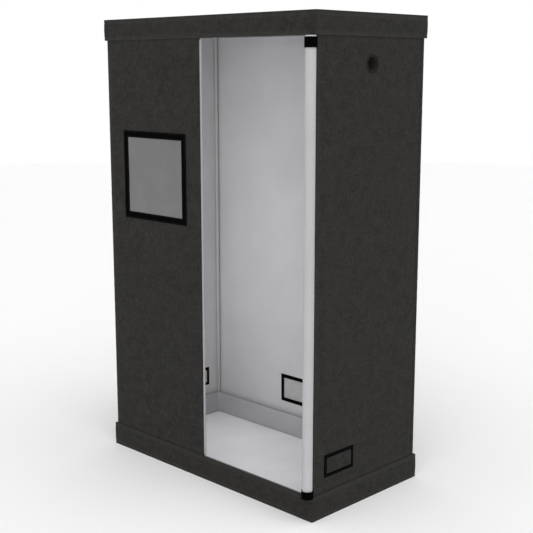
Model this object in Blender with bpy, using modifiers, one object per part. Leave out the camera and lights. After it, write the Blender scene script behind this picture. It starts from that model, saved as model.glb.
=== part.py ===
"""Printer enclosure tent: a fabric shell over a push-together tube frame.

Metres, +Z up. X runs along the front, Y runs to the back, and the origin is on the ground,
midway between the side walls and midway between the front and rear walls.
"""

import math

import bmesh
import bpy
from mathutils import Euler, Matrix, Vector

# Overall sizes, over the fabric walls.
WIDTH = 1.142
DEPTH = 0.600
HEIGHT = 1.800

# Fabric.
FABRIC = 0.0020
BAND_PROUD = 0.010
CAP_HEIGHT = 0.082
BASE_HEIGHT = 0.094
BINDING = 0.0015
GAP = 0.0003

# Frame tubes and their corner connectors.
TUBE_R = 0.008
TUBE_WALL = 0.0012
WALL_SLACK = 0.0005
ROOF_SLACK = 0.0035
HUB_PROUD = 0.0002
SPIGOT_LENGTH = 0.035
POST_SPIGOT_LENGTH = 0.040
TUBE_STEPS = 16

# Roof bars, which hook over the long top rails.
ROOF_BAR_X = 0.190
HOOK_WALL = 0.0020
HOOK_WIDTH = 0.020
HOOK_SLACK = 0.0004
HOOK_LIP_SET = 0.0008
HOOK_FOOT = 0.0013
HOOK_STEPS = 24

# Doorway, between the zip's free edges.
DOOR_LEFT_X = 0.004
DOOR_SILL = 0.0025
ZIP_WIDTH = 0.0075

# Zip sliders and their pull tabs.
SLIDER_CLEAR = 0.0007
SLIDER_LENGTH = 0.012
SLIDER_DEEP = 0.0060
SLIDER_LIP = 0.0022
SLIDER_FRONT = 0.0030
SLIDER_BACK = 0.0025
CROWN_R = 0.0008
CROWN_STEPS = 12
EYE_R = 0.0019
EYE_STEPS = 16
EYE_SLACK = 0.0003
EAR_WALL = 0.0012
TAB_WIDTH = 0.0074
TAB_THICK = 0.0020
TAB_LENGTH = 0.024

# Rolled door, tied at the right-hand corner.
ROLL_R = 0.021
STRAP_WALL = 0.0020
STRAP_SLACK = 0.0003
TOP_STRAP_HEIGHT = 0.036
LOW_STRAP_HEIGHT = 0.030
STRAP_TOP_DROP = 0.0045
ROLL_INSET = 0.001
ROLL_OFF_WALL = 0.0005
ROLL_LIFT = 0.004
ROLL_DROP = 0.0013
SEAM_WIDTH = 0.0016
SEAM_ROOT = 0.002
SEAM_MARGIN = 0.010
ROLL_STEPS = 28

# Window, a little off the middle of the wall beside the doorway.
WINDOW_OFF_MIDDLE = -0.003
WINDOW_DROP = 0.6155
WINDOW_WIDTH = 0.381
WINDOW_HEIGHT = 0.355
WINDOW_BORDER = 0.0265
WINDOW_LAP = 0.012
FILM = 0.0010

# Hose and cable ports in the side walls.
PORT_DROP = 0.175
PORT_R = 0.028
COLLAR_R = 0.033
SLEEVE_WALL = 0.0015
SLEEVE_LENGTH = 0.090
SLEEVE_END_R = 0.022
ELASTIC_R = 0.0016
PORT_STEPS = 24

# Vents: (outer width, outer height, binding width, height above the base band).
SIDE_VENT = (0.162, 0.085, 0.0130, 0.0540)
REAR_VENT = (0.314, 0.124, 0.0160, 0.0575)
SIDE_VENT_SETBACK = 0.146
VENT_LAP = 0.0015
VENT_MESH = 0.0010
FLAP = 0.0012

# Lift-out floor tray.
TRAY_SLACK = 0.0005
TRAY_WALL = 0.0020
TRAY_PAD = 0.012
TRAY_RIM_Z = 0.105
TRAY_LIP_Z = 0.080
TRAY_CORNER = 0.030

# Edges that turn by less than this are shaded smooth.
SHARP_DEGREES = 35

# What follows from them.
WALL_X = WIDTH / 2
WALL_Y = DEPTH / 2
BAND_X = WALL_X + BAND_PROUD
BAND_Y = WALL_Y + BAND_PROUD
ROOF_Z = HEIGHT - FABRIC
CAP_Z = HEIGHT - CAP_HEIGHT
TUBE_INSET = FABRIC + WALL_SLACK + TUBE_R
TUBE_X = WALL_X - TUBE_INSET
TUBE_Y = WALL_Y - TUBE_INSET
TUBE_LOW_Z = TUBE_INSET
TUBE_TOP_Z = HEIGHT - FABRIC - ROOF_SLACK - TUBE_R
TUBE_BORE_R = TUBE_R - TUBE_WALL
SPIGOT_R = TUBE_BORE_R - GAP
HUB_R = TUBE_R + HUB_PROUD
HUB_REACH = HUB_R + GAP
HOOK_LIP = TUBE_R - HOOK_LIP_SET
POST_SPLIT_Z = HEIGHT / 2
DOOR_LOW_Z = BASE_HEIGHT + DOOR_SILL
DOOR_TOP_Z = CAP_Z - DOOR_SILL
PANEL_X = WALL_X - FABRIC - GAP
PANEL_LOW_Z = FABRIC + GAP
PANEL_TOP_Z = ROOF_Z - GAP
WINDOW_X = (DOOR_LEFT_X - WALL_X) / 2 + WINDOW_OFF_MIDDLE
WINDOW_Z = HEIGHT - WINDOW_DROP
PORT_Z = HEIGHT - PORT_DROP
SIDE_VENT_Y = SIDE_VENT_SETBACK - WALL_Y
STRAP_IN_R = ROLL_R + STRAP_SLACK
STRAP_OUT_R = STRAP_IN_R + STRAP_WALL
ROLL_X = WALL_X - ROLL_INSET
ROLL_Y = -WALL_Y - ROLL_OFF_WALL - STRAP_OUT_R
ROLL_LOW_Z = BASE_HEIGHT + ROLL_LIFT
ROLL_TOP_Z = CAP_Z - ROLL_DROP
SLIDER_X = ROLL_X - STRAP_OUT_R - SLIDER_CLEAR - SLIDER_LENGTH / 2

# Name: base colour, roughness, metallic, alpha.
FINISHES = {
    "outer_fabric": ((0.022, 0.021, 0.019), 0.85, 0.0, 1.0),
    "white_lining": ((0.53, 0.53, 0.54), 0.55, 0.0, 1.0),
    "black_binding": ((0.006, 0.006, 0.006), 0.75, 0.0, 1.0),
    "window_film": ((0.16, 0.16, 0.165), 0.32, 0.0, 0.86),
    "tray_fabric": ((0.50, 0.50, 0.51), 0.60, 0.0, 1.0),
    "vent_mesh": ((0.55, 0.55, 0.55), 0.80, 0.0, 1.0),
    "zip_coil": ((0.30, 0.30, 0.305), 0.55, 0.0, 1.0),
    "slider_metal": ((0.020, 0.020, 0.021), 0.35, 1.0, 1.0),
    "grey_tube": ((0.40, 0.40, 0.40), 0.40, 0.0, 1.0),
    "corner_plastic": ((0.10, 0.10, 0.10), 0.50, 0.0, 1.0),
}


def clear_scene():
    for obj in list(bpy.data.objects):
        bpy.data.objects.remove(obj, do_unlink=True)


def new_collection(name):
    collection = bpy.data.collections.new(name)
    bpy.context.scene.collection.children.link(collection)
    return collection


def finish(name):
    """One Principled material for each sub-part, from its finish."""
    colour, roughness, metallic, alpha = FINISHES[name]
    material = bpy.data.materials.new(name)
    material.use_nodes = True
    shader = material.node_tree.nodes["Principled BSDF"]
    shader.inputs["Base Color"].default_value = (*colour, 1.0)
    shader.inputs["Roughness"].default_value = roughness
    shader.inputs["Metallic"].default_value = metallic
    shader.inputs["Alpha"].default_value = alpha
    return material


def put(name, mesh, finish_name, origin=(0, 0, 0), turn=(0, 0, 0)):
    """A sub-part. finish_name None makes it a helper that cuts or joins, and isn't rendered."""
    obj = bpy.data.objects.new(name, mesh)
    obj.location = origin
    obj.rotation_euler = turn
    if finish_name is None:
        CUTTERS.objects.link(obj)
        obj.hide_render = True
        obj.display_type = "WIRE"
    else:
        TENT.objects.link(obj)
        if not mesh.materials:
            mesh.materials.append(finish(finish_name))
    return obj


def box(name, low, high, finish_name=None, origin=None):
    """A box between two corners. Its object's origin is the box's centre unless one is given."""
    low = Vector(low)
    high = Vector(high)
    centre = (low + high) / 2
    origin = centre if origin is None else Vector(origin)
    bm = bmesh.new()
    bmesh.ops.create_cube(bm, size=1.0)
    bmesh.ops.scale(bm, vec=high - low, verts=bm.verts)
    bmesh.ops.translate(bm, vec=centre - origin, verts=bm.verts)
    mesh = bpy.data.meshes.new(name)
    bm.to_mesh(mesh)
    bm.free()
    return put(name, mesh, finish_name, origin)


def rod(name, start, end, radius, steps, finish_name=None, origin=None):
    """A solid cylinder from start to end."""
    start = Vector(start)
    end = Vector(end)
    along = end - start
    centre = (start + end) / 2
    origin = centre if origin is None else Vector(origin)
    turn = along.to_track_quat("Z", "Y").to_matrix().to_4x4()
    bm = bmesh.new()
    bmesh.ops.create_cone(
        bm,
        cap_ends=True,
        segments=steps,
        radius1=radius,
        radius2=radius,
        depth=along.length,
        matrix=Matrix.Translation(centre - origin) @ turn,
    )
    mesh = bpy.data.meshes.new(name)
    bm.to_mesh(mesh)
    bm.free()
    obj = put(name, mesh, finish_name, origin)
    smooth(mesh)
    return obj


def smooth(mesh):
    mesh.shade_smooth()
    mesh.set_sharp_from_angle(angle=math.radians(SHARP_DEGREES))


def turned(name, profile, steps, finish_name, origin, turn=(0, 0, 0)):
    """A hollow turned shape: a closed profile of (radius, height), down its outer side first."""
    mesh = bpy.data.meshes.new(name)
    count = len(profile)
    points = [(radius, 0.0, height) for radius, height in profile]
    edges = [(i, (i + 1) % count) for i in range(count)]
    mesh.from_pydata(points, edges, [])
    obj = put(name, mesh, finish_name, origin, turn)
    screw = obj.modifiers.new("turn", "SCREW")
    screw.axis = "Z"
    screw.steps = steps
    screw.render_steps = steps
    screw.use_merge_vertices = True
    screw.merge_threshold = 0.00001
    screw.use_smooth_shade = True
    return obj


def boolean(obj, other, operation):
    modifier = obj.modifiers.new(operation.lower(), "BOOLEAN")
    modifier.operation = operation
    modifier.solver = "EXACT"
    modifier.object = other


def cut(obj, *cutters):
    for cutter in cutters:
        boolean(obj, cutter, "DIFFERENCE")


def join(obj, *others):
    for other in others:
        boolean(obj, other, "UNION")


def frame_of(name, low, high, hole_low, hole_high, finish_name=None):
    """A box with a rectangular hole right through it."""
    obj = box(name, low, high, finish_name)
    cut(obj, box(name + "_hole", hole_low, hole_high))
    return obj


# Fabric shell.


def make_band(name, low_z, high_z):
    """A padded band that runs round all four walls and stands proud of them."""
    inner_x = WALL_X + GAP
    inner_y = WALL_Y + GAP
    frame_of(
        name,
        (-BAND_X, -BAND_Y, low_z),
        (BAND_X, BAND_Y, high_z),
        (-inner_x, -inner_y, low_z - BAND_PROUD),
        (inner_x, inner_y, high_z + BAND_PROUD),
        "outer_fabric",
    )


def make_roof_and_floor():
    box("roof_panel", (-BAND_X, -BAND_Y, ROOF_Z), (BAND_X, BAND_Y, HEIGHT), "outer_fabric")
    box("floor_panel", (-BAND_X, -BAND_Y, 0), (BAND_X, BAND_Y, FABRIC), "outer_fabric")
    make_band("cap_band", CAP_Z, ROOF_Z - GAP)
    make_band("base_band", FABRIC + GAP, BASE_HEIGHT)


def make_front_panel():
    """The front wall: its doorway is open to the right-hand corner, and strips run behind the bands."""
    panel = box(
        "front_panel",
        (-PANEL_X, -WALL_Y, PANEL_LOW_Z),
        (PANEL_X, -WALL_Y + FABRIC, PANEL_TOP_Z),
        "outer_fabric",
    )
    edge = ZIP_WIDTH + GAP
    doorway = box(
        "doorway",
        (DOOR_LEFT_X - edge, -WALL_Y - FABRIC, DOOR_LOW_Z - edge),
        (WALL_X + FABRIC, -WALL_Y + 2 * FABRIC, DOOR_TOP_Z + edge),
    )
    half_x = WINDOW_WIDTH / 2 - WINDOW_BORDER + WINDOW_LAP
    half_z = WINDOW_HEIGHT / 2 - WINDOW_BORDER + WINDOW_LAP
    window = box(
        "window_opening",
        (WINDOW_X - half_x, -WALL_Y - FABRIC, WINDOW_Z - half_z),
        (WINDOW_X + half_x, -WALL_Y + 2 * FABRIC, WINDOW_Z + half_z),
    )
    cut(panel, doorway, window)


def vent_hole(name, vent, side):
    """A cutter for the wall's hole behind a vent, on the wall that side names."""
    width, height, binding, lift = vent
    centre_z = BASE_HEIGHT + lift + height / 2
    half = width / 2 - binding + VENT_LAP
    rise = height / 2 - binding + VENT_LAP
    return wall_box(name, side, vent_centre(side), centre_z, half, rise, -2 * FABRIC, FABRIC)


def vent_centre(side):
    """How far along its wall a vent's centre is. The left wall is the right wall, turned round."""
    return {"right": SIDE_VENT_Y, "left": -SIDE_VENT_Y, "rear": 0.0}[side]


def wall_box(name, side, along, centre_z, half, rise, inner, outer, finish_name=None, origin=None):
    """A box on a wall, from inner to outer, which are measured outwards from the wall's outer face."""
    low = (along - half, centre_z - rise)
    high = (along + half, centre_z + rise)
    if side == "rear":
        corner_a = (low[0], WALL_Y + inner, low[1])
        corner_b = (high[0], WALL_Y + outer, high[1])
    elif side == "right":
        corner_a = (WALL_X + inner, low[0], low[1])
        corner_b = (WALL_X + outer, high[0], high[1])
    else:
        corner_a = (-WALL_X - outer, low[0], low[1])
        corner_b = (-WALL_X - inner, high[0], high[1])
    return box(name, corner_a, corner_b, finish_name, origin)


def make_side_panel(side):
    sign = 1 if side == "right" else -1
    panel = box(
        side + "_side_panel",
        (min(sign * WALL_X, sign * (WALL_X - FABRIC)), -WALL_Y, PANEL_LOW_Z),
        (max(sign * WALL_X, sign * (WALL_X - FABRIC)), WALL_Y, PANEL_TOP_Z),
        "outer_fabric",
    )
    port = rod(
        side + "_port_hole",
        (sign * (WALL_X - 2 * FABRIC), 0, PORT_Z),
        (sign * (WALL_X + FABRIC), 0, PORT_Z),
        PORT_R,
        PORT_STEPS,
    )
    cut(panel, port, vent_hole(side + "_vent_hole", SIDE_VENT, side))


def make_rear_panel():
    panel = box(
        "rear_panel",
        (-PANEL_X, WALL_Y - FABRIC, PANEL_LOW_Z),
        (PANEL_X, WALL_Y, PANEL_TOP_Z),
        "outer_fabric",
    )
    cut(panel, vent_hole("rear_vent_hole", REAR_VENT, "rear"))


# Window.


def make_window():
    """A clear film in the wall's opening, held between an outer and an inner border."""
    half_x = WINDOW_WIDTH / 2
    half_z = WINDOW_HEIGHT / 2
    outer_face = -WALL_Y - GAP
    inner_face = -WALL_Y + FABRIC + GAP
    for name, near, far in (
        ("window_border_outer", outer_face - BINDING, outer_face),
        ("window_border_inner", inner_face, inner_face + BINDING),
    ):
        frame_of(
            name,
            (WINDOW_X - half_x, near, WINDOW_Z - half_z),
            (WINDOW_X + half_x, far, WINDOW_Z + half_z),
            (WINDOW_X - half_x + WINDOW_BORDER, near - BINDING, WINDOW_Z - half_z + WINDOW_BORDER),
            (WINDOW_X + half_x - WINDOW_BORDER, far + BINDING, WINDOW_Z + half_z - WINDOW_BORDER),
            "black_binding",
        )
    reach_x = half_x - WINDOW_BORDER + WINDOW_LAP - GAP
    reach_z = half_z - WINDOW_BORDER + WINDOW_LAP - GAP
    middle = -WALL_Y + FABRIC / 2
    box(
        "window_film",
        (WINDOW_X - reach_x, middle - FILM / 2, WINDOW_Z - reach_z),
        (WINDOW_X + reach_x, middle + FILM / 2, WINDOW_Z + reach_z),
        "window_film",
    )


# Vents.


def make_vent(side, vent):
    """A binding that grips the wall's edge from both sides, a mesh inside it and a hinged flap over it."""
    width, height, binding, lift = vent
    centre_z = BASE_HEIGHT + lift + height / 2
    along = vent_centre(side)
    half = width / 2
    rise = height / 2
    inner_half = half - binding
    inner_rise = rise - binding
    outer_face = GAP + BINDING
    inner_face = -FABRIC - GAP - BINDING

    edge = wall_box(
        side + "_vent_binding", side, along, centre_z, half, rise, inner_face, outer_face, "black_binding"
    )
    # The wall's edge lies in this groove, which leaves the two borders joined through the hole.
    liner_half = inner_half + VENT_LAP - GAP
    liner_rise = inner_rise + VENT_LAP - GAP
    groove = wall_box(
        side + "_vent_groove", side, along, centre_z, 2 * half, 2 * rise, -FABRIC - GAP, GAP
    )
    cut(
        groove,
        wall_box(side + "_vent_liner", side, along, centre_z, liner_half, liner_rise, -2 * FABRIC, FABRIC),
    )
    way = wall_box(
        side + "_vent_way", side, along, centre_z, inner_half, inner_rise, 2 * inner_face, 2 * outer_face
    )
    cut(edge, groove, way)

    wall_box(
        side + "_vent_mesh",
        side,
        along,
        centre_z,
        inner_half - GAP,
        inner_rise - GAP,
        -FABRIC / 2 - VENT_MESH / 2,
        -FABRIC / 2 + VENT_MESH / 2,
        "vent_mesh",
    )
    hinge_z = centre_z + inner_rise - GAP
    hinge_out = outer_face
    origin = {
        "rear": (along, WALL_Y + hinge_out, hinge_z),
        "right": (WALL_X + hinge_out, along, hinge_z),
        "left": (-WALL_X - hinge_out, along, hinge_z),
    }[side]
    wall_box(
        side + "_vent_flap",
        side,
        along,
        centre_z,
        inner_half - GAP,
        inner_rise - GAP,
        outer_face - FLAP,
        outer_face,
        "outer_fabric",
        origin,
    )


# Ports.


def make_port(side):
    """A bound collar on the wall and a tapered sleeve that hangs inwards from it."""
    sign = 1 if side == "right" else -1
    turn = Euler((0, sign * math.pi / 2, 0))
    collar_in = PORT_R - GAP
    outer_face = GAP + BINDING
    turned(
        side + "_port_collar",
        [(COLLAR_R, outer_face), (COLLAR_R, GAP), (collar_in, GAP), (collar_in, outer_face)],
        PORT_STEPS,
        "black_binding",
        (sign * WALL_X, 0, PORT_Z),
        turn,
    )
    mouth = PORT_R - GAP
    end = -SLEEVE_LENGTH
    turned(
        side + "_port_sleeve",
        [
            (mouth, 0),
            (mouth, -FABRIC),
            (SLEEVE_END_R, end + ELASTIC_R),
            (SLEEVE_END_R + ELASTIC_R, end),
            (SLEEVE_END_R, end - ELASTIC_R),
            (SLEEVE_END_R - SLEEVE_WALL, end - ELASTIC_R),
            (SLEEVE_END_R - SLEEVE_WALL, end + ELASTIC_R),
            (mouth - SLEEVE_WALL, -FABRIC),
            (mouth - SLEEVE_WALL, 0),
        ],
        PORT_STEPS,
        "outer_fabric",
        (sign * WALL_X, 0, PORT_Z),
        turn,
    )


# Rolled door.


def make_door():
    """The open door, rolled round itself and tied. It is sewn to the right-hand wall's front edge."""
    hinge = (WALL_X, -WALL_Y, ROLL_LOW_Z)
    roll = rod(
        "door_roll",
        (ROLL_X, ROLL_Y, ROLL_LOW_Z),
        (ROLL_X, ROLL_Y, ROLL_TOP_Z),
        ROLL_R,
        ROLL_STEPS,
        "white_lining",
        hinge,
    )
    top_strap = ROLL_TOP_Z - STRAP_TOP_DROP - TOP_STRAP_HEIGHT
    seam_low = ROLL_LOW_Z + LOW_STRAP_HEIGHT + SEAM_MARGIN
    seam = box(
        "door_seam",
        (ROLL_X - SEAM_WIDTH / 2, ROLL_Y + ROLL_R - SEAM_ROOT, seam_low),
        (ROLL_X + SEAM_WIDTH / 2, -WALL_Y - GAP, top_strap - SEAM_MARGIN),
    )
    join(roll, seam)
    for name, low_z, height in (
        ("door_strap_top", top_strap, TOP_STRAP_HEIGHT),
        ("door_strap_bottom", ROLL_LOW_Z, LOW_STRAP_HEIGHT),
    ):
        turned(
            name,
            [
                (STRAP_OUT_R, height),
                (STRAP_OUT_R, 0),
                (STRAP_IN_R, 0),
                (STRAP_IN_R, height),
            ],
            ROLL_STEPS,
            "black_binding",
            (ROLL_X, ROLL_Y, low_z),
        )


def make_zip():
    """The frame's half of the door zip: one tape along the top, down the left and along the sill."""
    frame_of(
        "door_zip",
        (DOOR_LEFT_X - ZIP_WIDTH, -WALL_Y, DOOR_LOW_Z - ZIP_WIDTH),
        (PANEL_X - GAP, -WALL_Y + FABRIC, DOOR_TOP_Z + ZIP_WIDTH),
        (DOOR_LEFT_X, -WALL_Y - FABRIC, DOOR_LOW_Z),
        (WALL_X + FABRIC, -WALL_Y + 2 * FABRIC, DOOR_TOP_Z),
        "zip_coil",
    )


def tab_lean(crown_y, crown_z):
    """How far a tab leans out from hanging straight down, where the base band is in its way."""
    drop = crown_z - BASE_HEIGHT
    if drop > TAB_LENGTH:
        return 0.0
    out = crown_y + BAND_Y
    return math.atan2(out, drop) + math.asin((TAB_THICK / 2 + GAP) / math.hypot(out, drop))


def make_slider(name, edge_z, towards_door):
    """A slider that grips the zip's free edge at edge_z, and the pull tab that hangs from its crown."""
    front = -WALL_Y - GAP - SLIDER_FRONT
    back = -WALL_Y + FABRIC + GAP + SLIDER_BACK
    lip_z = edge_z - towards_door * SLIDER_LIP
    deep_z = edge_z + towards_door * SLIDER_DEEP
    body = box(
        name + "_slider",
        (SLIDER_X - SLIDER_LENGTH / 2, front, min(lip_z, deep_z)),
        (SLIDER_X + SLIDER_LENGTH / 2, back, max(lip_z, deep_z)),
        "slider_metal",
    )
    slot_end = edge_z + towards_door * GAP
    slot_far = edge_z - towards_door * SLIDER_DEEP
    slot = box(
        name + "_slot",
        (SLIDER_X - SLIDER_LENGTH, -WALL_Y - GAP, min(slot_end, slot_far)),
        (SLIDER_X + SLIDER_LENGTH, -WALL_Y + FABRIC + GAP, max(slot_end, slot_far)),
    )
    cut(body, slot)

    crown_z = edge_z + towards_door * SLIDER_DEEP / 2
    crown_y = front - GAP - EYE_R
    reach = TAB_WIDTH / 2 + GAP
    bar = rod(
        name + "_crown",
        (SLIDER_X - reach - EAR_WALL / 2, crown_y, crown_z),
        (SLIDER_X + reach + EAR_WALL / 2, crown_y, crown_z),
        CROWN_R,
        CROWN_STEPS,
    )
    ears = []
    for side in (-1, 1):
        inner_x = SLIDER_X + side * reach
        outer_x = SLIDER_X + side * (reach + EAR_WALL)
        ears.append(
            box(
                name + ("_ear_right" if side > 0 else "_ear_left"),
                (min(inner_x, outer_x), crown_y - CROWN_R, crown_z - 2 * CROWN_R),
                (max(inner_x, outer_x), front + GAP, crown_z + 2 * CROWN_R),
            )
        )
    join(body, *ears, bar)

    crown = (SLIDER_X, crown_y, crown_z)
    tab = box(
        name + "_pull_tab",
        (SLIDER_X - TAB_WIDTH / 2, crown_y - TAB_THICK / 2, crown_z - TAB_LENGTH),
        (SLIDER_X + TAB_WIDTH / 2, crown_y + TAB_THICK / 2, crown_z),
        "slider_metal",
        crown,
    )
    tab.rotation_euler.x = -tab_lean(crown_y, crown_z)
    ends = [(SLIDER_X + side * TAB_WIDTH / 2, crown_y, crown_z) for side in (-1, 1)]
    eye = rod(name + "_eye", *ends, EYE_R, EYE_STEPS)
    bore_ends = [(SLIDER_X + side * TAB_WIDTH, crown_y, crown_z) for side in (-1, 1)]
    bore = rod(name + "_eye_bore", *bore_ends, CROWN_R + EYE_SLACK, CROWN_STEPS)
    join(tab, eye)
    cut(tab, bore)


# Floor tray.


def make_tray():
    """A lift-out tray with a padded floor. Its front lip is lower than its other three walls."""
    out_x = TUBE_X - TUBE_R - TRAY_SLACK
    out_y = TUBE_Y - TUBE_R - TRAY_SLACK
    tray = box("floor_tray", (-out_x, -out_y, PANEL_LOW_Z), (out_x, out_y, TRAY_RIM_Z), "tray_fabric")
    in_x = out_x - TRAY_WALL
    in_y = out_y - TRAY_WALL
    hollow = box(
        "tray_hollow",
        (-in_x, -in_y, PANEL_LOW_Z + TRAY_PAD),
        (in_x, in_y, TRAY_RIM_Z + TRAY_PAD),
    )
    step_x = out_x - TRAY_CORNER
    step = box(
        "tray_front_step",
        (-step_x, -out_y - TRAY_WALL, TRAY_LIP_Z),
        (step_x, -in_y + TRAY_WALL, TRAY_RIM_Z + TRAY_PAD),
    )
    cut(tray, hollow, step)


# Frame.


def tube_profile(length, spigot=0.0):
    """Down the outside, then up the bore. A swaged spigot stands above the tube's own top."""
    outer = [(TUBE_R, length), (TUBE_R, 0), (TUBE_BORE_R, 0)]
    if not spigot:
        return outer + [(TUBE_BORE_R, length)]
    spigot_bore = SPIGOT_R - TUBE_WALL
    return (
        [(SPIGOT_R, length + spigot)]
        + [(SPIGOT_R, length)]
        + outer
        + [(TUBE_BORE_R, length - TUBE_WALL), (spigot_bore, length), (spigot_bore, length + spigot)]
    )


def make_posts():
    """Each corner post is two tubes: the lower one's swaged end fits into the upper one."""
    low_end = TUBE_LOW_Z + HUB_REACH
    top_end = TUBE_TOP_Z - HUB_REACH
    for corner, sign_x, sign_y in CORNERS:
        x = sign_x * TUBE_X
        y = sign_y * TUBE_Y
        lower = tube_profile(POST_SPLIT_Z - low_end, POST_SPIGOT_LENGTH)
        turned(f"post_{corner}_lower", lower, TUBE_STEPS, "grey_tube", (x, y, low_end))
        upper = tube_profile(top_end - POST_SPLIT_Z - GAP)
        origin = (x, y, POST_SPLIT_Z + GAP)
        turned(f"post_{corner}_upper", upper, TUBE_STEPS, "grey_tube", origin)


def make_rails():
    for level, z in (("top", TUBE_TOP_Z), ("bottom", TUBE_LOW_Z)):
        for end, sign in (("front", -1), ("rear", 1)):
            profile = tube_profile(2 * (TUBE_X - HUB_REACH))
            origin = (-TUBE_X + HUB_REACH, sign * TUBE_Y, z)
            turn = (0, math.pi / 2, 0)
            turned(f"rail_{level}_{end}", profile, TUBE_STEPS, "grey_tube", origin, turn)
        for end, sign in (("left", -1), ("right", 1)):
            profile = tube_profile(2 * (TUBE_Y - HUB_REACH))
            origin = (sign * TUBE_X, TUBE_Y - HUB_REACH, z)
            turn = (math.pi / 2, 0, 0)
            turned(f"rail_{level}_{end}", profile, TUBE_STEPS, "grey_tube", origin, turn)


def make_connectors():
    """A ball with three spigots. All eight corners share one shape, turned to suit."""
    bm = bmesh.new()
    bmesh.ops.create_uvsphere(bm, u_segments=12, v_segments=8, radius=HUB_R)
    mesh = bpy.data.meshes.new("connector_ball")
    bm.to_mesh(mesh)
    bm.free()
    ball = put("connector_pattern", mesh, None)
    reach = HUB_REACH + SPIGOT_LENGTH
    legs = [
        rod("connector_leg_" + axis, (0, 0, 0), Vector(way) * reach, SPIGOT_R, TUBE_STEPS)
        for axis, way in (("x", (-1, 0, 0)), ("y", (0, -1, 0)), ("z", (0, 0, -1)))
    ]
    join(ball, *legs)
    bpy.context.view_layer.update()
    graph = bpy.context.evaluated_depsgraph_get()
    shape = bpy.data.meshes.new_from_object(ball.evaluated_get(graph))
    smooth(shape)
    bpy.data.objects.remove(ball)
    for leg in legs:
        bpy.data.objects.remove(leg)
    quarter = {"right_rear": 0, "left_rear": 1, "left_front": 2, "right_front": 3}
    for corner, sign_x, sign_y in CORNERS:
        spot = (sign_x * TUBE_X, sign_y * TUBE_Y)
        turn = quarter[corner] * math.pi / 2
        put(f"connector_{corner}_top", shape, "corner_plastic", (*spot, TUBE_TOP_Z), (0, 0, turn))
        # Upside down, the pattern's two level legs swap places. A further quarter turn puts them right.
        flipped = (math.pi, 0, turn + math.pi / 2)
        put(f"connector_{corner}_bottom", shape, "corner_plastic", (*spot, TUBE_LOW_Z), flipped)


def make_roof_bar(name, x):
    """A tube between the long top rails, coped to them, with a hook over each."""
    bar = rod(name, (x, -TUBE_Y, TUBE_TOP_Z), (x, TUBE_Y, TUBE_TOP_Z), TUBE_R, TUBE_STEPS, "grey_tube")
    hook_r = TUBE_R + HOOK_SLACK + HOOK_WALL
    ways = []
    for end, sign in (("front", -1), ("rear", 1)):
        y = sign * TUBE_Y
        ends = [(x + side * HOOK_WIDTH / 2, y, TUBE_TOP_Z) for side in (-1, 1)]
        hook = rod(f"{name}_hook_{end}", *ends, hook_r, HOOK_STEPS)
        below = box(
            f"{name}_hook_below_{end}",
            (x - HOOK_WIDTH, y - 2 * hook_r, TUBE_TOP_Z - 2 * hook_r),
            (x + HOOK_WIDTH, y + 2 * hook_r, TUBE_TOP_Z - HOOK_FOOT),
        )
        lip_y = y + sign * HOOK_LIP
        far_y = y + sign * 2 * hook_r
        beyond = box(
            f"{name}_hook_beyond_{end}",
            (x - HOOK_WIDTH, min(lip_y, far_y), TUBE_TOP_Z - hook_r),
            (x + HOOK_WIDTH, max(lip_y, far_y), TUBE_TOP_Z + 2 * hook_r),
        )
        cut(hook, below, beyond)
        join(bar, hook)
        rail_ends = [(x + side * 2 * HOOK_WIDTH, y, TUBE_TOP_Z) for side in (-1, 1)]
        ways.append(rod(f"{name}_rail_way_{end}", *rail_ends, TUBE_R + HOOK_SLACK, HOOK_STEPS))
    bore_y = TUBE_Y - TUBE_R
    bore_ends = [(x, side * bore_y, TUBE_TOP_Z) for side in (-1, 1)]
    ways.append(rod(name + "_bore", *bore_ends, TUBE_BORE_R, TUBE_STEPS))
    cut(bar, *ways)


CORNERS = (
    ("left_front", -1, -1),
    ("right_front", 1, -1),
    ("right_rear", 1, 1),
    ("left_rear", -1, 1),
)

clear_scene()
TENT = new_collection("printer_enclosure_tent")
CUTTERS = new_collection("cutters")

make_roof_and_floor()
make_front_panel()
make_rear_panel()
make_window()
make_vent("rear", REAR_VENT)
for wall in ("left", "right"):
    make_side_panel(wall)
    make_vent(wall, SIDE_VENT)
    make_port(wall)
make_door()
make_zip()
make_slider("zip_top", DOOR_TOP_Z, -1)
make_slider("zip_bottom", DOOR_LOW_Z, 1)
make_tray()
make_posts()
make_rails()
make_connectors()
make_roof_bar("roof_bar_left", -ROOF_BAR_X)
make_roof_bar("roof_bar_right", ROOF_BAR_X)
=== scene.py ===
"""Printer enclosure tent: cloth walls, padded bands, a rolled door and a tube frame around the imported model.

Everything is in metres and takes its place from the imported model's own boxes.
"""

import functools
import math

import bmesh
import bpy
from bpy.props import FloatProperty, FloatVectorProperty, IntProperty, PointerProperty
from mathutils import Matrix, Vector, noise


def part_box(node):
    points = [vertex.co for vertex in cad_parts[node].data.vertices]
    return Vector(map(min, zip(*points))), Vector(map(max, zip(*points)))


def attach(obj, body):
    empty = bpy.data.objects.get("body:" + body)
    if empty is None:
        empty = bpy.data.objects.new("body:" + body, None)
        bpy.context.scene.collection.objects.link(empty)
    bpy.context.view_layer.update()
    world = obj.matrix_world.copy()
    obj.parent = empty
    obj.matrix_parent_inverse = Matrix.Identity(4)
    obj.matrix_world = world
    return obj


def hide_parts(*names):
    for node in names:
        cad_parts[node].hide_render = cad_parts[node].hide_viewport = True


bl_info = {
    "name": "Printer Enclosure Tent",
    "version": (1, 0, 0),
    "blender": (4, 5, 0),
    "location": "View3D > Sidebar > Tent",
    "description": "Builds the cloth, trim and frame of an upright printer enclosure tent",
    "category": "Object",
}

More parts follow.
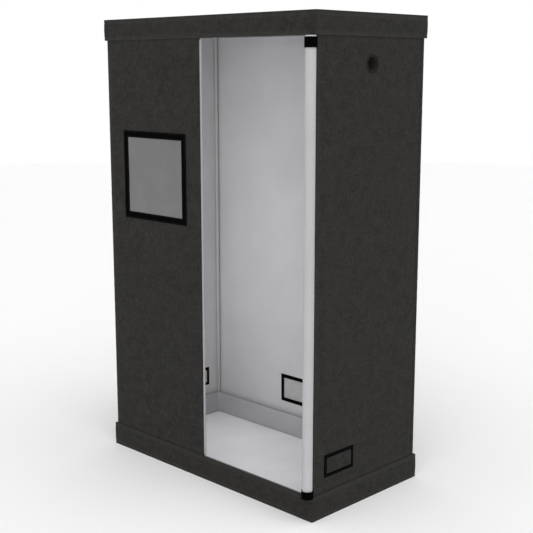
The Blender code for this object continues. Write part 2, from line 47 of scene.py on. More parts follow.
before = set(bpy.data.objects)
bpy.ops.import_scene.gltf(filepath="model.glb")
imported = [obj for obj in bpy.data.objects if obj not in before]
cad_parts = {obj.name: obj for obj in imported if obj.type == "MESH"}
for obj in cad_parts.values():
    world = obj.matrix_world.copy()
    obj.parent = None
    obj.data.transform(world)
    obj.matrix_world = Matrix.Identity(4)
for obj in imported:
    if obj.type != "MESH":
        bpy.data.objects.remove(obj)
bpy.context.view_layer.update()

SHELL = "shell"
DOOR_BODY = "door_bundle"
X = Vector((1.0, 0.0, 0.0))
Y = Vector((0.0, 1.0, 0.0))
Z = Vector((0.0, 0.0, 1.0))
UV_NAME = "cloth"
EDGE_NAME = "edge"


@functools.lru_cache(maxsize=None)
def box_of(node):
    return tuple(Vector(corner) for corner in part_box(node))


def low(node):
    return box_of(node)[0]


def high(node):
    return box_of(node)[1]


def middle(node):
    return (low(node) + high(node)) / 2


# Places that several pieces share.
WALL_X = high("right_side_panel").x
WALL_Y = high("rear_panel").y
BAND_X = high("cap_band").x
BAND_Y = high("cap_band").y
PANEL_LOW = low("front_panel").z
PANEL_TOP = high("front_panel").z
CAP_LOW = low("cap_band").z
BASE_TOP = high("base_band").z
FLOOR_TOP = high("floor_panel").z
DOOR_LEFT = low("door_zip").x
DOOR_BOTTOM = low("door_zip").z
DOOR_TOP = high("door_zip").z

# The cloth: its thickness, the radius it turns a corner with, how far the front and rear walls lap
# the side walls, how far the side walls tuck under them, and the gap at an unlapped edge.
CLOTH = 0.0009
CORNER_R = 0.004
LAP = 0.014
UNDER_LAP = 0.0012
EDGE_INSET = 0.0004

# The square of closer lines round a port, and how many lines cross it.
PORT_SQUARE = 0.040
PORT_SQUARE_LINES = 12

# The bands: hem width, corner radius, the room left inside the CAD band, and the gap behind the band.
BAND_HEM = 0.009
BAND_CORNER = 0.007
BAND_INSET = 0.0010
BAND_BACK_GAP = 0.0008

# Distance from one thread to the next in each cloth.
CHARCOAL_WEAVE = 0.0013
LINING_WEAVE = 0.0016

# Points along the long side, the short side and each corner of a loop round the tent.
LOOP_COUNTS = (96, 48, 5)

# Tape: how far it stands off the cloth, and the height that its stitches lie at.
TAPE_STAND = 0.0016
STITCH_LIFT = 0.0018
WINDOW_TAPE = 0.0265

# The rolled door: its turns, the radius of its core and its cloth.
ROLL_TURNS = 7.4
ROLL_CORE = 0.003
DOOR_CLOTH = 0.0009

# The gap that the CAD leaves between a vent's binding and its flap.
FLAP_GAP = 0.0003

# Tubes: wall, end rounding, and the swaged neck of a lower post.
TUBE_WALL = 0.0012
TUBE_LIP = 0.0004
SPIGOT_LENGTH = 0.040
SPIGOT_R = 0.0065

# The camera's place, in heights of the tent, and the panel light's width and height.
CAMERA_AT = (1.6204, -1.6113, 0.8955)
PANEL_LIGHT_SIZE = (0.42, 1.55)


# Settings that a user would change.


class TentClothSettings(bpy.types.PropertyGroup):
    outer_colour: FloatVectorProperty(
        name="Outer cloth",
        description="Colour of the charcoal outer cloth",
        subtype="COLOR",
        size=3,
        min=0.0,
        max=1.0,
        default=(0.0215, 0.0208, 0.0192),
    )
    lining_colour: FloatVectorProperty(
        name="Lining",
        description="Colour of the pale coated lining",
        subtype="COLOR",
        size=3,
        min=0.0,
        max=1.0,
        default=(0.53, 0.53, 0.54),
    )
    trim_colour: FloatVectorProperty(
        name="Trim",
        description="Colour of the black binding, webbing and zip",
        subtype="COLOR",
        size=3,
        min=0.0,
        max=1.0,
        default=(0.0012, 0.0012, 0.0013),
    )
    grid: FloatProperty(
        name="Cloth grid",
        description="Spacing of the lines that the walls are built on",
        unit="LENGTH",
        min=0.004,
        default=0.010,
    )
    belly: FloatProperty(
        name="Belly",
        description="How far the middle of a wall hangs in from its edges",
        unit="LENGTH",
        default=0.0035,
    )
    pucker: FloatProperty(
        name="Pucker",
        description="Height of the small gathers along a sewn edge",
        unit="LENGTH",
        default=0.0006,
    )


class TentTrimSettings(bpy.types.PropertyGroup):
    stitch_length: FloatProperty(
        name="Stitch length",
        description="Length of one stitch",
        unit="LENGTH",
        default=0.0034,
    )
    stitch_spacing: FloatProperty(
        name="Stitch spacing",
        description="Distance from one stitch to the next",
        unit="LENGTH",
        default=0.0046,
    )
    thread_radius: FloatProperty(
        name="Thread radius",
        description="Half the thickness of the sewing thread",
        unit="LENGTH",
        default=0.00038,
    )
    tooth_spacing: FloatProperty(
        name="Zip coil pitch",
        description="Distance from one turn of the zip coil to the next",
        unit="LENGTH",
        default=0.0017,
    )
    mesh_cell: FloatProperty(
        name="Vent mesh cell",
        description="Size of one opening of the vent mesh",
        unit="LENGTH",
        default=0.0030,
    )


class TentFrameSettings(bpy.types.PropertyGroup):
    # The default grey is partly painted shade: the tubes are darkened so the rear corner post reads as the
    # corner's shade.
    tube_colour: FloatVectorProperty(
        name="Tube",
        description="Colour of the grey powder-coated tubes",
        subtype="COLOR",
        size=3,
        min=0.0,
        max=1.0,
        default=(0.40, 0.40, 0.40),
    )
    tube_sides: IntProperty(
        name="Tube sides",
        description="Number of flat sides round a tube",
        min=12,
        default=32,
    )


class TentStageSettings(bpy.types.PropertyGroup):
    azimuth: FloatProperty(
        name="Azimuth",
        description="Angle of the camera round the tent, from straight in front",
        subtype="ANGLE",
        default=math.radians(44.73),
    )
    elevation: FloatProperty(
        name="Elevation",
        description="Angle of the camera's view below level",
        subtype="ANGLE",
        default=math.radians(10.887),
    )
    lens: FloatProperty(
        name="Lens",
        description="Focal length in millimetres on a 36 mm sensor",
        default=69.9,
    )
    sky: FloatProperty(
        name="Sky",
        description="Strength of the even white light from above",
        default=0.50,
    )
    front_light: FloatProperty(
        name="Front light",
        description="Strength of the wide soft light that faces the doorway",
        default=0.55,
    )
    top_light: FloatProperty(
        name="Top light",
        description="Strength of the wide soft light from overhead",
        default=1.6,
    )
    inside_light: FloatProperty(
        name="Inside light",
        description="Power of the panel light that stands inside, against the front wall",
        default=2.7,
    )


def settings(name):
    return getattr(bpy.context.scene, "tent_" + name)


# Materials.


class Finish:
    """A material being made: its node tree, with short ways to add and join nodes."""

    def __init__(self, name, roughness=0.6, metallic=0.0):
        self.material = bpy.data.materials.new(name)
        self.material.use_nodes = True
        self.tree = self.material.node_tree
        self.shader = self.tree.nodes["Principled BSDF"]
        self.shader.inputs["Roughness"].default_value = roughness
        self.shader.inputs["Metallic"].default_value = metallic

    def node(self, kind, **values):
        made = self.tree.nodes.new("ShaderNode" + kind)
        for key, value in values.items():
            if key in made.inputs:
                made.inputs[key].default_value = value
            else:
                setattr(made, key, value)
        return made

    def link(self, source, target):
        self.tree.links.new(source, target)

    def uv(self):
        return self.node("UVMap", uv_map=UV_NAME).outputs["UV"]

    def place(self):
        return self.node("TexCoord").outputs["Object"]

    def noise(self, vector, scale, detail=3.0, roughness=0.55):
        made = self.node("TexNoise", Scale=scale, Detail=detail, Roughness=roughness)
        self.link(vector, made.inputs["Vector"])
        return made.outputs["Fac"]

    def wave(self, vector, period, direction, distortion=0.0):
        """Bands one period apart. A wave texture's own period is a twentieth of a turn."""
        made = self.node("TexWave", Scale=math.tau / (20.0 * period), Distortion=distortion)
        made.bands_direction = direction
        self.link(vector, made.inputs["Vector"])
        return made.outputs["Fac"]

    def maths(self, operation, first, second=0.0):
        made = self.node("Math", operation=operation)
        for socket, value in zip(made.inputs, (first, second)):
            if isinstance(value, (int, float)):
                socket.default_value = value
            else:
                self.link(value, socket)
        return made.outputs["Value"]

    def ramp(self, factor, first, second, start=0.0, end=1.0):
        """A colour between two, as the factor goes from start to end."""
        made = self.node("ValToRGB")
        stops = made.color_ramp.elements
        stops[0].position = start
        stops[1].position = end
        stops[0].color = (*first, 1.0)
        stops[1].color = (*second, 1.0)
        self.link(factor, made.inputs["Fac"])
        return made.outputs["Color"]

    def mix(self, factor, first, second):
        made = self.node("Mix", data_type="RGBA")
        for socket, value in ((0, factor), (6, first), (7, second)):
            if isinstance(value, bpy.types.NodeSocket):
                self.link(value, made.inputs[socket])
            else:
                made.inputs[socket].default_value = value
        return made.outputs[2]

    def span(self, factor, least, most):
        made = self.node("MapRange")
        made.inputs["To Min"].default_value = least
        made.inputs["To Max"].default_value = most
        self.link(factor, made.inputs["Value"])
        return made.outputs["Result"]

    def edge(self):
        """1 on a sewn edge, 0 on open cloth."""
        return self.node("Attribute", attribute_name=EDGE_NAME).outputs["Fac"]

    def bump(self, height, distance, strength=1.0, under=None):
        made = self.node("Bump", Distance=distance, Strength=strength)
        self.link(height, made.inputs["Height"])
        if under is not None:
            self.link(under, made.inputs["Normal"])
        return made.outputs["Normal"]

    def done(self, colour=None, roughness=None, normal=None):
        for name, value in (("Base Color", colour), ("Roughness", roughness), ("Normal", normal)):
            if value is not None:
                self.link(value, self.shader.inputs[name])
        return self.material


def shade(colour, factor):
    return tuple(min(1.0, part * factor) for part in colour)


def outer_cloth(name="charcoal_cloth"):
    """Charcoal coated polyester: a plain weave, uneven dye and rubbed, dusty edges."""
    colour = tuple(settings("cloth").outer_colour)
    cloth = Finish(name, roughness=0.85)
    cloth.shader.inputs["Sheen Weight"].default_value = 0.02
    cloth.shader.inputs["Sheen Roughness"].default_value = 0.55
    cloth.shader.inputs["Specular IOR Level"].default_value = 0.10
    place = cloth.place()
    blotch = cloth.noise(place, 26.0, detail=5.0, roughness=0.65)
    mottle = cloth.noise(place, 95.0, detail=4.0, roughness=0.65)
    fleck = cloth.noise(place, 420.0, detail=2.0)
    tone = cloth.maths("ADD", cloth.maths("MULTIPLY", blotch, 0.35), cloth.maths("MULTIPLY", mottle, 0.65))
    dyed = cloth.ramp(tone, shade(colour, 0.48), shade(colour, 1.46), 0.37, 0.63)
    warm = (colour[0] * 1.18, colour[1] * 1.02, colour[2] * 0.94)
    patches = cloth.ramp(cloth.noise(place, 9.0), (0.0, 0.0, 0.0), (0.55, 0.55, 0.55), 0.45, 0.75)
    dyed = cloth.mix(patches, dyed, (*warm, 1.0))
    flecked = cloth.mix(cloth.span(fleck, 0.0, 0.30), dyed, (*shade(colour, 1.5), 1.0))
    rub = cloth.maths("MULTIPLY", cloth.edge(), cloth.noise(place, 160.0))
    worn = cloth.mix(cloth.maths("MULTIPLY", rub, 0.55), flecked, (*shade(colour, 2.2), 1.0))
    where = cloth.uv()
    warp = cloth.wave(where, CHARCOAL_WEAVE, "X", 0.4)
    weft = cloth.wave(where, CHARCOAL_WEAVE, "Y", 0.4)
    weave = cloth.bump(cloth.maths("MULTIPLY", warp, weft), 0.00018, 0.55)
    nap = cloth.bump(mottle, 0.0016, 0.35, under=weave)
    return cloth.done(worn, cloth.span(mottle, 0.78, 0.93), nap)


def lining_cloth(name="pale_lining", factor=1.0):
    """Pale coated lining: smooth, with a faint ripple and grey scuffs near its edges."""
    # factor scales the lining's colour. The lightened tray floor is painted light, and the darkened tray walls
    # and door are painted shade.
    colour = shade(tuple(settings("cloth").lining_colour), factor)
    cloth = Finish(name, roughness=0.55)
    cloth.shader.inputs["Specular IOR Level"].default_value = 0.35
    place = cloth.place()
    cloud = cloth.noise(place, 5.0, detail=4.0)
    grain = cloth.noise(place, 240.0, detail=3.0)
    tone = cloth.ramp(cloud, shade(colour, 0.95), shade(colour, 1.03), 0.35, 0.68)
    scuff = cloth.maths("MULTIPLY", cloth.edge(), cloth.noise(place, 34.0, detail=5.0))
    worn = cloth.mix(cloth.maths("MULTIPLY", scuff, 0.28), tone, (*shade(colour, 0.62), 1.0))
    where = cloth.uv()
    across, along = cloth.wave(where, LINING_WEAVE, "X"), cloth.wave(where, LINING_WEAVE, "Y")
    weave = cloth.maths("MULTIPLY", across, along)
    fine = cloth.bump(weave, 0.00010, 0.35)
    crease = cloth.bump(cloth.noise(place, 17.0, detail=4.0), 0.0035, 0.30, under=fine)
    return cloth.done(worn, cloth.span(grain, 0.46, 0.66), crease)


def webbing(name="black_webbing", rib=0.0021, colour=None):
    """Ribbed tape, a little paler along its ribs. It is black unless a colour is given."""
    colour = colour or tuple(settings("cloth").trim_colour)
    tape = Finish(name, roughness=0.75)
    tape.shader.inputs["Specular IOR Level"].default_value = 0.01
    where = tape.uv()
    ribs = tape.wave(where, rib, "Y", 0.3)
    cross = tape.wave(where, rib * 0.6, "X", 0.5)
    grain = tape.noise(tape.place(), 350.0)
    tone = tape.mix(tape.span(ribs, 0.0, 0.5), (*colour, 1.0), (*shade(colour, 1.9), 1.0))
    rub = tape.maths("MULTIPLY", tape.edge(), grain)
    worn = tape.mix(tape.maths("MULTIPLY", rub, 0.35), tone, (*shade(colour, 4.0), 1.0))
    height = tape.maths("ADD", tape.maths("MULTIPLY", ribs, 0.7), tape.maths("MULTIPLY", cross, 0.3))
    return tape.done(worn, tape.span(grain, 0.66, 0.85), tape.bump(height, 0.00030, 0.8))


def plain(name, colour, roughness, metallic=0.0, grain=220.0, uneven=0.12, depth=0.0001):
    """A moulded, painted or spun finish: uneven tone and roughness at the scale of its grain."""
    made = Finish(name, roughness, metallic)
    place = made.place()
    spots = made.noise(place, grain, detail=3.0)
    cloud = made.noise(place, grain / 9.0, detail=2.0)
    tone = made.ramp(cloud, shade(colour, 1.0 - uneven), shade(colour, 1.0 + uneven), 0.3, 0.7)
    rough = made.span(spots, roughness - 0.08, roughness + 0.10)
    return made.done(tone, rough, made.bump(spots, depth, 0.4))


def window_film():
    """Smoky soft film, with a faint haze, long ripples and fine scratches."""
    film = Finish("smoky_film", roughness=0.32)
    film.shader.inputs["Alpha"].default_value = 0.86
    film.shader.inputs["Specular IOR Level"].default_value = 0.45
    film.shader.inputs["Coat Weight"].default_value = 0.15
    film.shader.inputs["Coat Roughness"].default_value = 0.25
    place = film.place()
    cloud = film.noise(place, 7.0, detail=3.0)
    scratch = film.noise(place, 520.0, detail=2.0)
    tone = film.ramp(cloud, (0.126, 0.126, 0.128), (0.156, 0.156, 0.157), 0.3, 0.7)
    return film.done(tone, film.span(scratch, 0.24, 0.40), film.bump(cloud, 0.003, 0.25))


# Small tools for building meshes.


def object_of(name, bm, *materials):
    """A mesh object at the origin from a bmesh, shaded smooth except at sharp angles."""
    mesh = bpy.data.meshes.new(name)
    bm.to_mesh(mesh)
    bm.free()
    mesh.shade_smooth()
    mesh.set_sharp_from_angle(angle=math.radians(40))
    for material in materials:
        mesh.materials.append(material)
    obj = bpy.data.objects.new(name, mesh)
    bpy.context.scene.collection.objects.link(obj)
    return obj


def solidify(obj, thickness, inner_slot=0, rim_slot=0):
    """Gives a sheet its thickness, inwards from its outer face."""
    wall = obj.modifiers.new("thickness", "SOLIDIFY")
    wall.thickness = thickness
    wall.offset = -1.0
    wall.material_offset = inner_slot
    wall.material_offset_rim = rim_slot
    return obj


def baked(obj):
    """The object with its modifiers applied, as a plain mesh."""
    bpy.context.view_layer.update()
    graph = bpy.context.evaluated_depsgraph_get()
    mesh = bpy.data.meshes.new_from_object(obj.evaluated_get(graph))
    old = obj.data
    obj.modifiers.clear()
    obj.data = mesh
    if isinstance(old, bpy.types.Mesh):
        bpy.data.meshes.remove(old)
    return obj


def set_up(obj, body, slot, *nodes):
    """The piece rides on a body and stands for CAD nodes. The slot is not used."""
    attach(obj, body)
    if nodes:
        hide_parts(*nodes)
    return obj


def lines(start, end, step, *through):
    """Values from start to end, about a step apart, that pass through the ones named."""
    stops = sorted({start, end, *(v for v in through if start < v < end)})
    found = [stops[0]]
    for a, b in zip(stops, stops[1:]):
        count = max(1, round((b - a) / step))
        found += [a + (b - a) * i / count for i in range(1, count + 1)]
    return found


def sheet_mesh(us, vs, place, left_out=lambda u, v: False, nearness=None, round_hole=None):
    """A grid of cloth over the lines us and vs.

    place(u, v) gives a point and left_out(u, v) names cells that are left open. nearness(u, v) is written
    as the edge attribute. round_hole is (u, v, radius, half of the square it replaces).
    """
    bm = bmesh.new()
    uv_layer = bm.loops.layers.uv.new(UV_NAME)
    edge_layer = bm.verts.layers.float.new(EDGE_NAME)
    made = {}
    flat = {}

    def vert(key, u, v):
        if key not in made:
            new = bm.verts.new(place(u, v))
            new[edge_layer] = nearness(u, v) if nearness else 0.0
            made[key] = new
            flat[new] = (u, v)
        return made[key]

    def face(*corners):
        new = bm.faces.new(corners)
        for loop in new.loops:
            loop[uv_layer].uv = flat[loop.vert]

    def in_square(u, v):
        if round_hole is None:
            return False
        cu, cv, _, half = round_hole
        return abs(u - cu) < half and abs(v - cv) < half

    for i in range(len(us) - 1):
        for j in range(len(vs) - 1):
            mid_u = (us[i] + us[i + 1]) / 2
            mid_v = (vs[j] + vs[j + 1]) / 2
            if left_out(mid_u, mid_v) or in_square(mid_u, mid_v):
                continue
            face(
                vert((i, j), us[i], vs[j]),
                vert((i + 1, j), us[i + 1], vs[j]),
                vert((i + 1, j + 1), us[i + 1], vs[j + 1]),
                vert((i, j + 1), us[i], vs[j + 1]),
            )
    if round_hole is not None:
        ring_patch(us, vs, round_hole, vert, face)
    return bm


def ring_patch(us, vs, round_hole, vert, face):
    """Fills between a square gap in the grid and a round hole inside it."""
    cu, cv, radius, half = round_hole
    inside_u = [i for i, u in enumerate(us) if abs(u - cu) < half + 1e-6]
    inside_v = [j for j, v in enumerate(vs) if abs(v - cv) < half + 1e-6]
    i0, i1, j0, j1 = inside_u[0], inside_u[-1], inside_v[0], inside_v[-1]
    rim = [(i, j0) for i in range(i0, i1)]
    rim += [(i1, j) for j in range(j0, j1)]
    rim += [(i, j1) for i in range(i1, i0, -1)]
    rim += [(i0, j) for j in range(j1, j0, -1)]
    rings = 3
    for a, b in zip(rim, rim[1:] + rim[:1]):
        for ring in range(rings):
            corners = []
            for (i, j), step in ((a, ring), (b, ring), (b, ring + 1), (a, ring + 1)):
                u, v = us[i], vs[j]
                share = step / rings
                angle = math.atan2(v - cv, u - cu)
                hole_u = cu + radius * math.cos(angle)
                hole_v = cv + radius * math.sin(angle)
                key = (i, j) if step == 0 else (i, j, step)
                corners.append(vert(key, u + (hole_u - u) * share, v + (hole_v - v) * share))
            face(*corners)


def rounded_rectangle(half_u, half_v, radius, count_u, count_v, count_corner):
    """Points round a rectangle, anticlockwise, with each corner an arc. Every size gives as many points."""
    radius = max(radius, 1e-5)
    points = []
    for index, (su, sv) in enumerate(((1, 1), (-1, 1), (-1, -1), (1, -1))):
        cu, cv = su * (half_u - radius), sv * (half_v - radius)
        start = index * math.pi / 2
        for k in range(count_corner + 1):
            angle = start + math.pi / 2 * k / count_corner
            points.append((cu + radius * math.cos(angle), cv + radius * math.sin(angle)))
        nu, nv = ((-1, 1), (-1, -1), (1, -1), (1, 1))[index]
        end_angle = start + math.pi / 2
        from_u, from_v = points[-1]
        to_u = nu * (half_u - radius) + radius * math.cos(end_angle)
        to_v = nv * (half_v - radius) + radius * math.sin(end_angle)
        count = count_u if index in (0, 2) else count_v
        for k in range(1, count):
            share = k / count
            points.append((from_u + (to_u - from_u) * share, from_v + (to_v - from_v) * share))
    return points


def ring_mesh(loops, closed=True, nearness=None):
    """A body through loops of points, each loop closed, and the last joined to the first if closed."""
    bm = bmesh.new()
    uv_layer = bm.loops.layers.uv.new(UV_NAME)
    edge_layer = bm.verts.layers.float.new(EDGE_NAME)
    rows = [[bm.verts.new(point) for point in loop] for loop in loops]
    count = len(rows[0])
    along = [0.0]
    for a, b in zip(loops[0], loops[0][1:] + loops[0][:1]):
        along.append(along[-1] + (Vector(b) - Vector(a)).length)
    across = [0.0]
    for a, b in zip(loops, loops[1:] + loops[:1]):
        across.append(across[-1] + (Vector(b[0]) - Vector(a[0])).length)
    if nearness:
        for row, value in zip(rows, nearness):
            for v in row:
                v[edge_layer] = value
    pairs = len(rows) if closed else len(rows) - 1
    for r in range(pairs):
        upper = rows[(r + 1) % len(rows)]
        for i in range(count):
            k = (i + 1) % count
            new = bm.faces.new((rows[r][i], rows[r][k], upper[k], upper[i]))
            flat = (
                (along[i], across[r]),
                (along[i + 1], across[r]),
                (along[i + 1], across[r + 1]),
                (along[i], across[r + 1]),
            )
            for loop, uv in zip(new.loops, flat):
                loop[uv_layer].uv = uv
    bmesh.ops.recalc_face_normals(bm, faces=bm.faces)
    return bm


def lathe_mesh(profile, start, along, sides, swell=None):
    """A closed profile of (radius, distance) turned about a line.

    swell(angle, distance) scales the radius.
    """
    along = along.normalized()
    side = along.orthogonal().normalized()
    other = along.cross(side)
    loops = []
    for radius, distance in profile:
        loop = []
        for k in range(sides):
            angle = math.tau * k / sides
            wide = radius * (swell(angle, distance) if swell else 1.0)
            out = side * (math.cos(angle) * wide) + other * (math.sin(angle) * wide)
            loop.append(start + along * distance + out)
        loops.append(loop)
    return ring_mesh(loops)


def join_meshes(name, bms, *materials):
    """Several closed shapes as one piece."""
    whole = bmesh.new()
    whole.loops.layers.uv.new(UV_NAME)
    whole.verts.layers.float.new(EDGE_NAME)
    for bm in bms:
        part = bpy.data.meshes.new("part")
        bm.to_mesh(part)
        bm.free()
        whole.from_mesh(part)
        bpy.data.meshes.remove(part)
    return object_of(name, whole, *materials)


# What repeats along a path.


def repeat_tree():
    """Geometry nodes: small rounded beads, evenly spaced and turned along a path."""
    tree = bpy.data.node_groups.new("repeat_along_path", "GeometryNodeTree")
    sockets = (
        ("Path", "NodeSocketGeometry", None),
        ("Spacing", "NodeSocketFloat", 0.005),
        ("Size", "NodeSocketVector", (0.003, 0.0006, 0.0006)),
        ("Facing", "NodeSocketVector", (0.0, 0.0, 1.0)),
        ("Finish", "NodeSocketMaterial", None),
    )
    for name, kind, value in sockets:
        socket = tree.interface.new_socket(name, in_out="INPUT", socket_type=kind)
        if value is not None:
            socket.default_value = value
    tree.interface.new_socket("Result", in_out="OUTPUT", socket_type="NodeSocketGeometry")

    def node(kind, **values):
        made = tree.nodes.new(kind)
        for key, value in values.items():
            setattr(made, key, value)
        return made

    link = tree.links.new
    given = node("NodeGroupInput")
    result = node("NodeGroupOutput")
    curve = node("GeometryNodeMeshToCurve")
    spaced = node("GeometryNodeResampleCurve", mode="LENGTH")
    tangent = node("GeometryNodeInputTangent")
    lengthways = node("FunctionNodeAlignRotationToVector", axis="X")
    facing = node("FunctionNodeAlignRotationToVector", axis="Z", pivot_axis="X")
    bead = node("GeometryNodeMeshUVSphere")
    bead.inputs["Segments"].default_value = 6
    bead.inputs["Rings"].default_value = 4
    bead.inputs["Radius"].default_value = 0.5
    copies = node("GeometryNodeInstanceOnPoints")
    real = node("GeometryNodeRealizeInstances")
    smooth = node("GeometryNodeSetShadeSmooth")
    finish = node("GeometryNodeSetMaterial")
    link(given.outputs["Path"], curve.inputs["Mesh"])
    link(curve.outputs["Curve"], spaced.inputs["Curve"])
    link(given.outputs["Spacing"], spaced.inputs["Length"])
    link(spaced.outputs["Curve"], copies.inputs["Points"])
    link(bead.outputs["Mesh"], copies.inputs["Instance"])
    link(tangent.outputs["Tangent"], lengthways.inputs["Vector"])
    link(lengthways.outputs["Rotation"], facing.inputs["Rotation"])
    link(given.outputs["Facing"], facing.inputs["Vector"])
    link(facing.outputs["Rotation"], copies.inputs["Rotation"])
    link(given.outputs["Size"], copies.inputs["Scale"])
    link(copies.outputs["Instances"], real.inputs["Geometry"])
    link(real.outputs["Geometry"], smooth.inputs["Geometry"])
    link(smooth.outputs["Geometry"], finish.inputs["Geometry"])
    link(given.outputs["Finish"], finish.inputs["Material"])
    link(finish.outputs["Geometry"], result.inputs["Result"])
    return tree


def grille_tree():
    """Geometry nodes: a woven mesh of round threads over a flat grid."""
    tree = bpy.data.node_groups.new("woven_grille", "GeometryNodeTree")
    sockets = (
        ("Grid", "NodeSocketGeometry", None),
        ("Thread radius", "NodeSocketFloat", 0.0003),
        ("Finish", "NodeSocketMaterial", None),
    )
    for name, kind, value in sockets:
        socket = tree.interface.new_socket(name, in_out="INPUT", socket_type=kind)
        if value is not None:
            socket.default_value = value
    tree.interface.new_socket("Result", in_out="OUTPUT", socket_type="NodeSocketGeometry")
    link = tree.links.new
    given = tree.nodes.new("NodeGroupInput")
    result = tree.nodes.new("NodeGroupOutput")
    curve = tree.nodes.new("GeometryNodeMeshToCurve")
    section = tree.nodes.new("GeometryNodeCurvePrimitiveCircle")
    section.inputs["Resolution"].default_value = 4
    thread = tree.nodes.new("GeometryNodeCurveToMesh")
    thread.inputs["Fill Caps"].default_value = True
    real = tree.nodes.new("GeometryNodeRealizeInstances")
    finish = tree.nodes.new("GeometryNodeSetMaterial")
    link(given.outputs["Grid"], curve.inputs["Mesh"])
    link(given.outputs["Thread radius"], section.inputs["Radius"])
    link(curve.outputs["Curve"], thread.inputs["Curve"])
    link(section.outputs["Curve"], thread.inputs["Profile Curve"])
    link(thread.outputs["Mesh"], real.inputs["Geometry"])
    link(real.outputs["Geometry"], finish.inputs["Geometry"])
    link(given.outputs["Finish"], finish.inputs["Material"])
    link(finish.outputs["Geometry"], result.inputs["Result"])
    return tree


def through_nodes(name, bm, tree, values):
    """The mesh put through a node tree, with the tree's inputs set by name, as a plain mesh object."""
    mesh = bpy.data.meshes.new(name)
    bm.to_mesh(mesh)
    bm.free()
    obj = bpy.data.objects.new(name, mesh)
    bpy.context.scene.collection.objects.link(obj)
    modifier = obj.modifiers.new("nodes", "NODES")
    modifier.node_group = tree
    for item in tree.interface.items_tree:
        if item.name in values:
            modifier[item.identifier] = values[item.name]
    return baked(obj)


def path_mesh(paths):
    """Polylines as mesh edges. A path is (points, closed)."""
    bm = bmesh.new()
    for points, closed in paths:
        verts = [bm.verts.new(point) for point in points]
        for a, b in zip(verts, verts[1:]):
            bm.edges.new((a, b))
        if closed:
            bm.edges.new((verts[-1], verts[0]))
    return bm


TREES = {}
FINISHES = {}


def tree_named(name, make):
    if name not in TREES:
        TREES[name] = make()
    return TREES[name]


def finish_named(name, make):
    if name not in FINISHES:
        FINISHES[name] = make()
    return FINISHES[name]


def charcoal():
    return finish_named("charcoal", outer_cloth)


def pale():
    return finish_named("pale", lining_cloth)


# The tray floor is the pale lining lightened by 1.75: painted light on the floor.
def tray_floor_painted_light():
    return finish_named("tray_floor_painted_light", lambda: lining_cloth("tray_floor_painted_light_cloth", 1.75))


# The tray walls and rim binding are the pale lining darkened to 0.74: painted shade along the tray's sides.
def tray_side_painted_shade():
    return finish_named("tray_side_painted_shade", lambda: lining_cloth("tray_side_painted_shade_cloth", 0.74))


# The rolled door's lining is the wall lining darkened to 0.81: painted shade, not a different cloth.
def door_lining_painted_shade():
    return finish_named("door_lining_painted_shade", lambda: lining_cloth("door_lining_painted_shade_cloth", 0.81))


# A pale grey zip tape, partly painted light: it makes the lit strip at the doorway's left edge.
def pale_tape_painted_light():
    return finish_named("pale_tape_painted_light", lambda: webbing("pale_tape_painted_light", colour=(0.30, 0.30, 0.305)))


def tape():
    return finish_named("tape", webbing)


def thread():
    return finish_named("thread", lambda: plain("black_thread", (0.010, 0.010, 0.010), 0.7, grain=900.0))


def pale_thread():
    return finish_named("pale_thread", lambda: plain("pale_thread", (0.55, 0.55, 0.55), 0.7, grain=900.0))


def stitches(name, paths, facing, body, finish=None):
    """Rows of stitches along paths."""
    trim = settings("trim")
    values = {
        "Spacing": trim.stitch_spacing,
        "Size": (trim.stitch_length, 2.0 * trim.thread_radius, 2.0 * trim.thread_radius),
        "Facing": facing,
        "Finish": finish or thread(),
    }
    obj = through_nodes(name, path_mesh(paths), tree_named("repeat", repeat_tree), values)
    return set_up(obj, body, "black_binding")


# Walls.


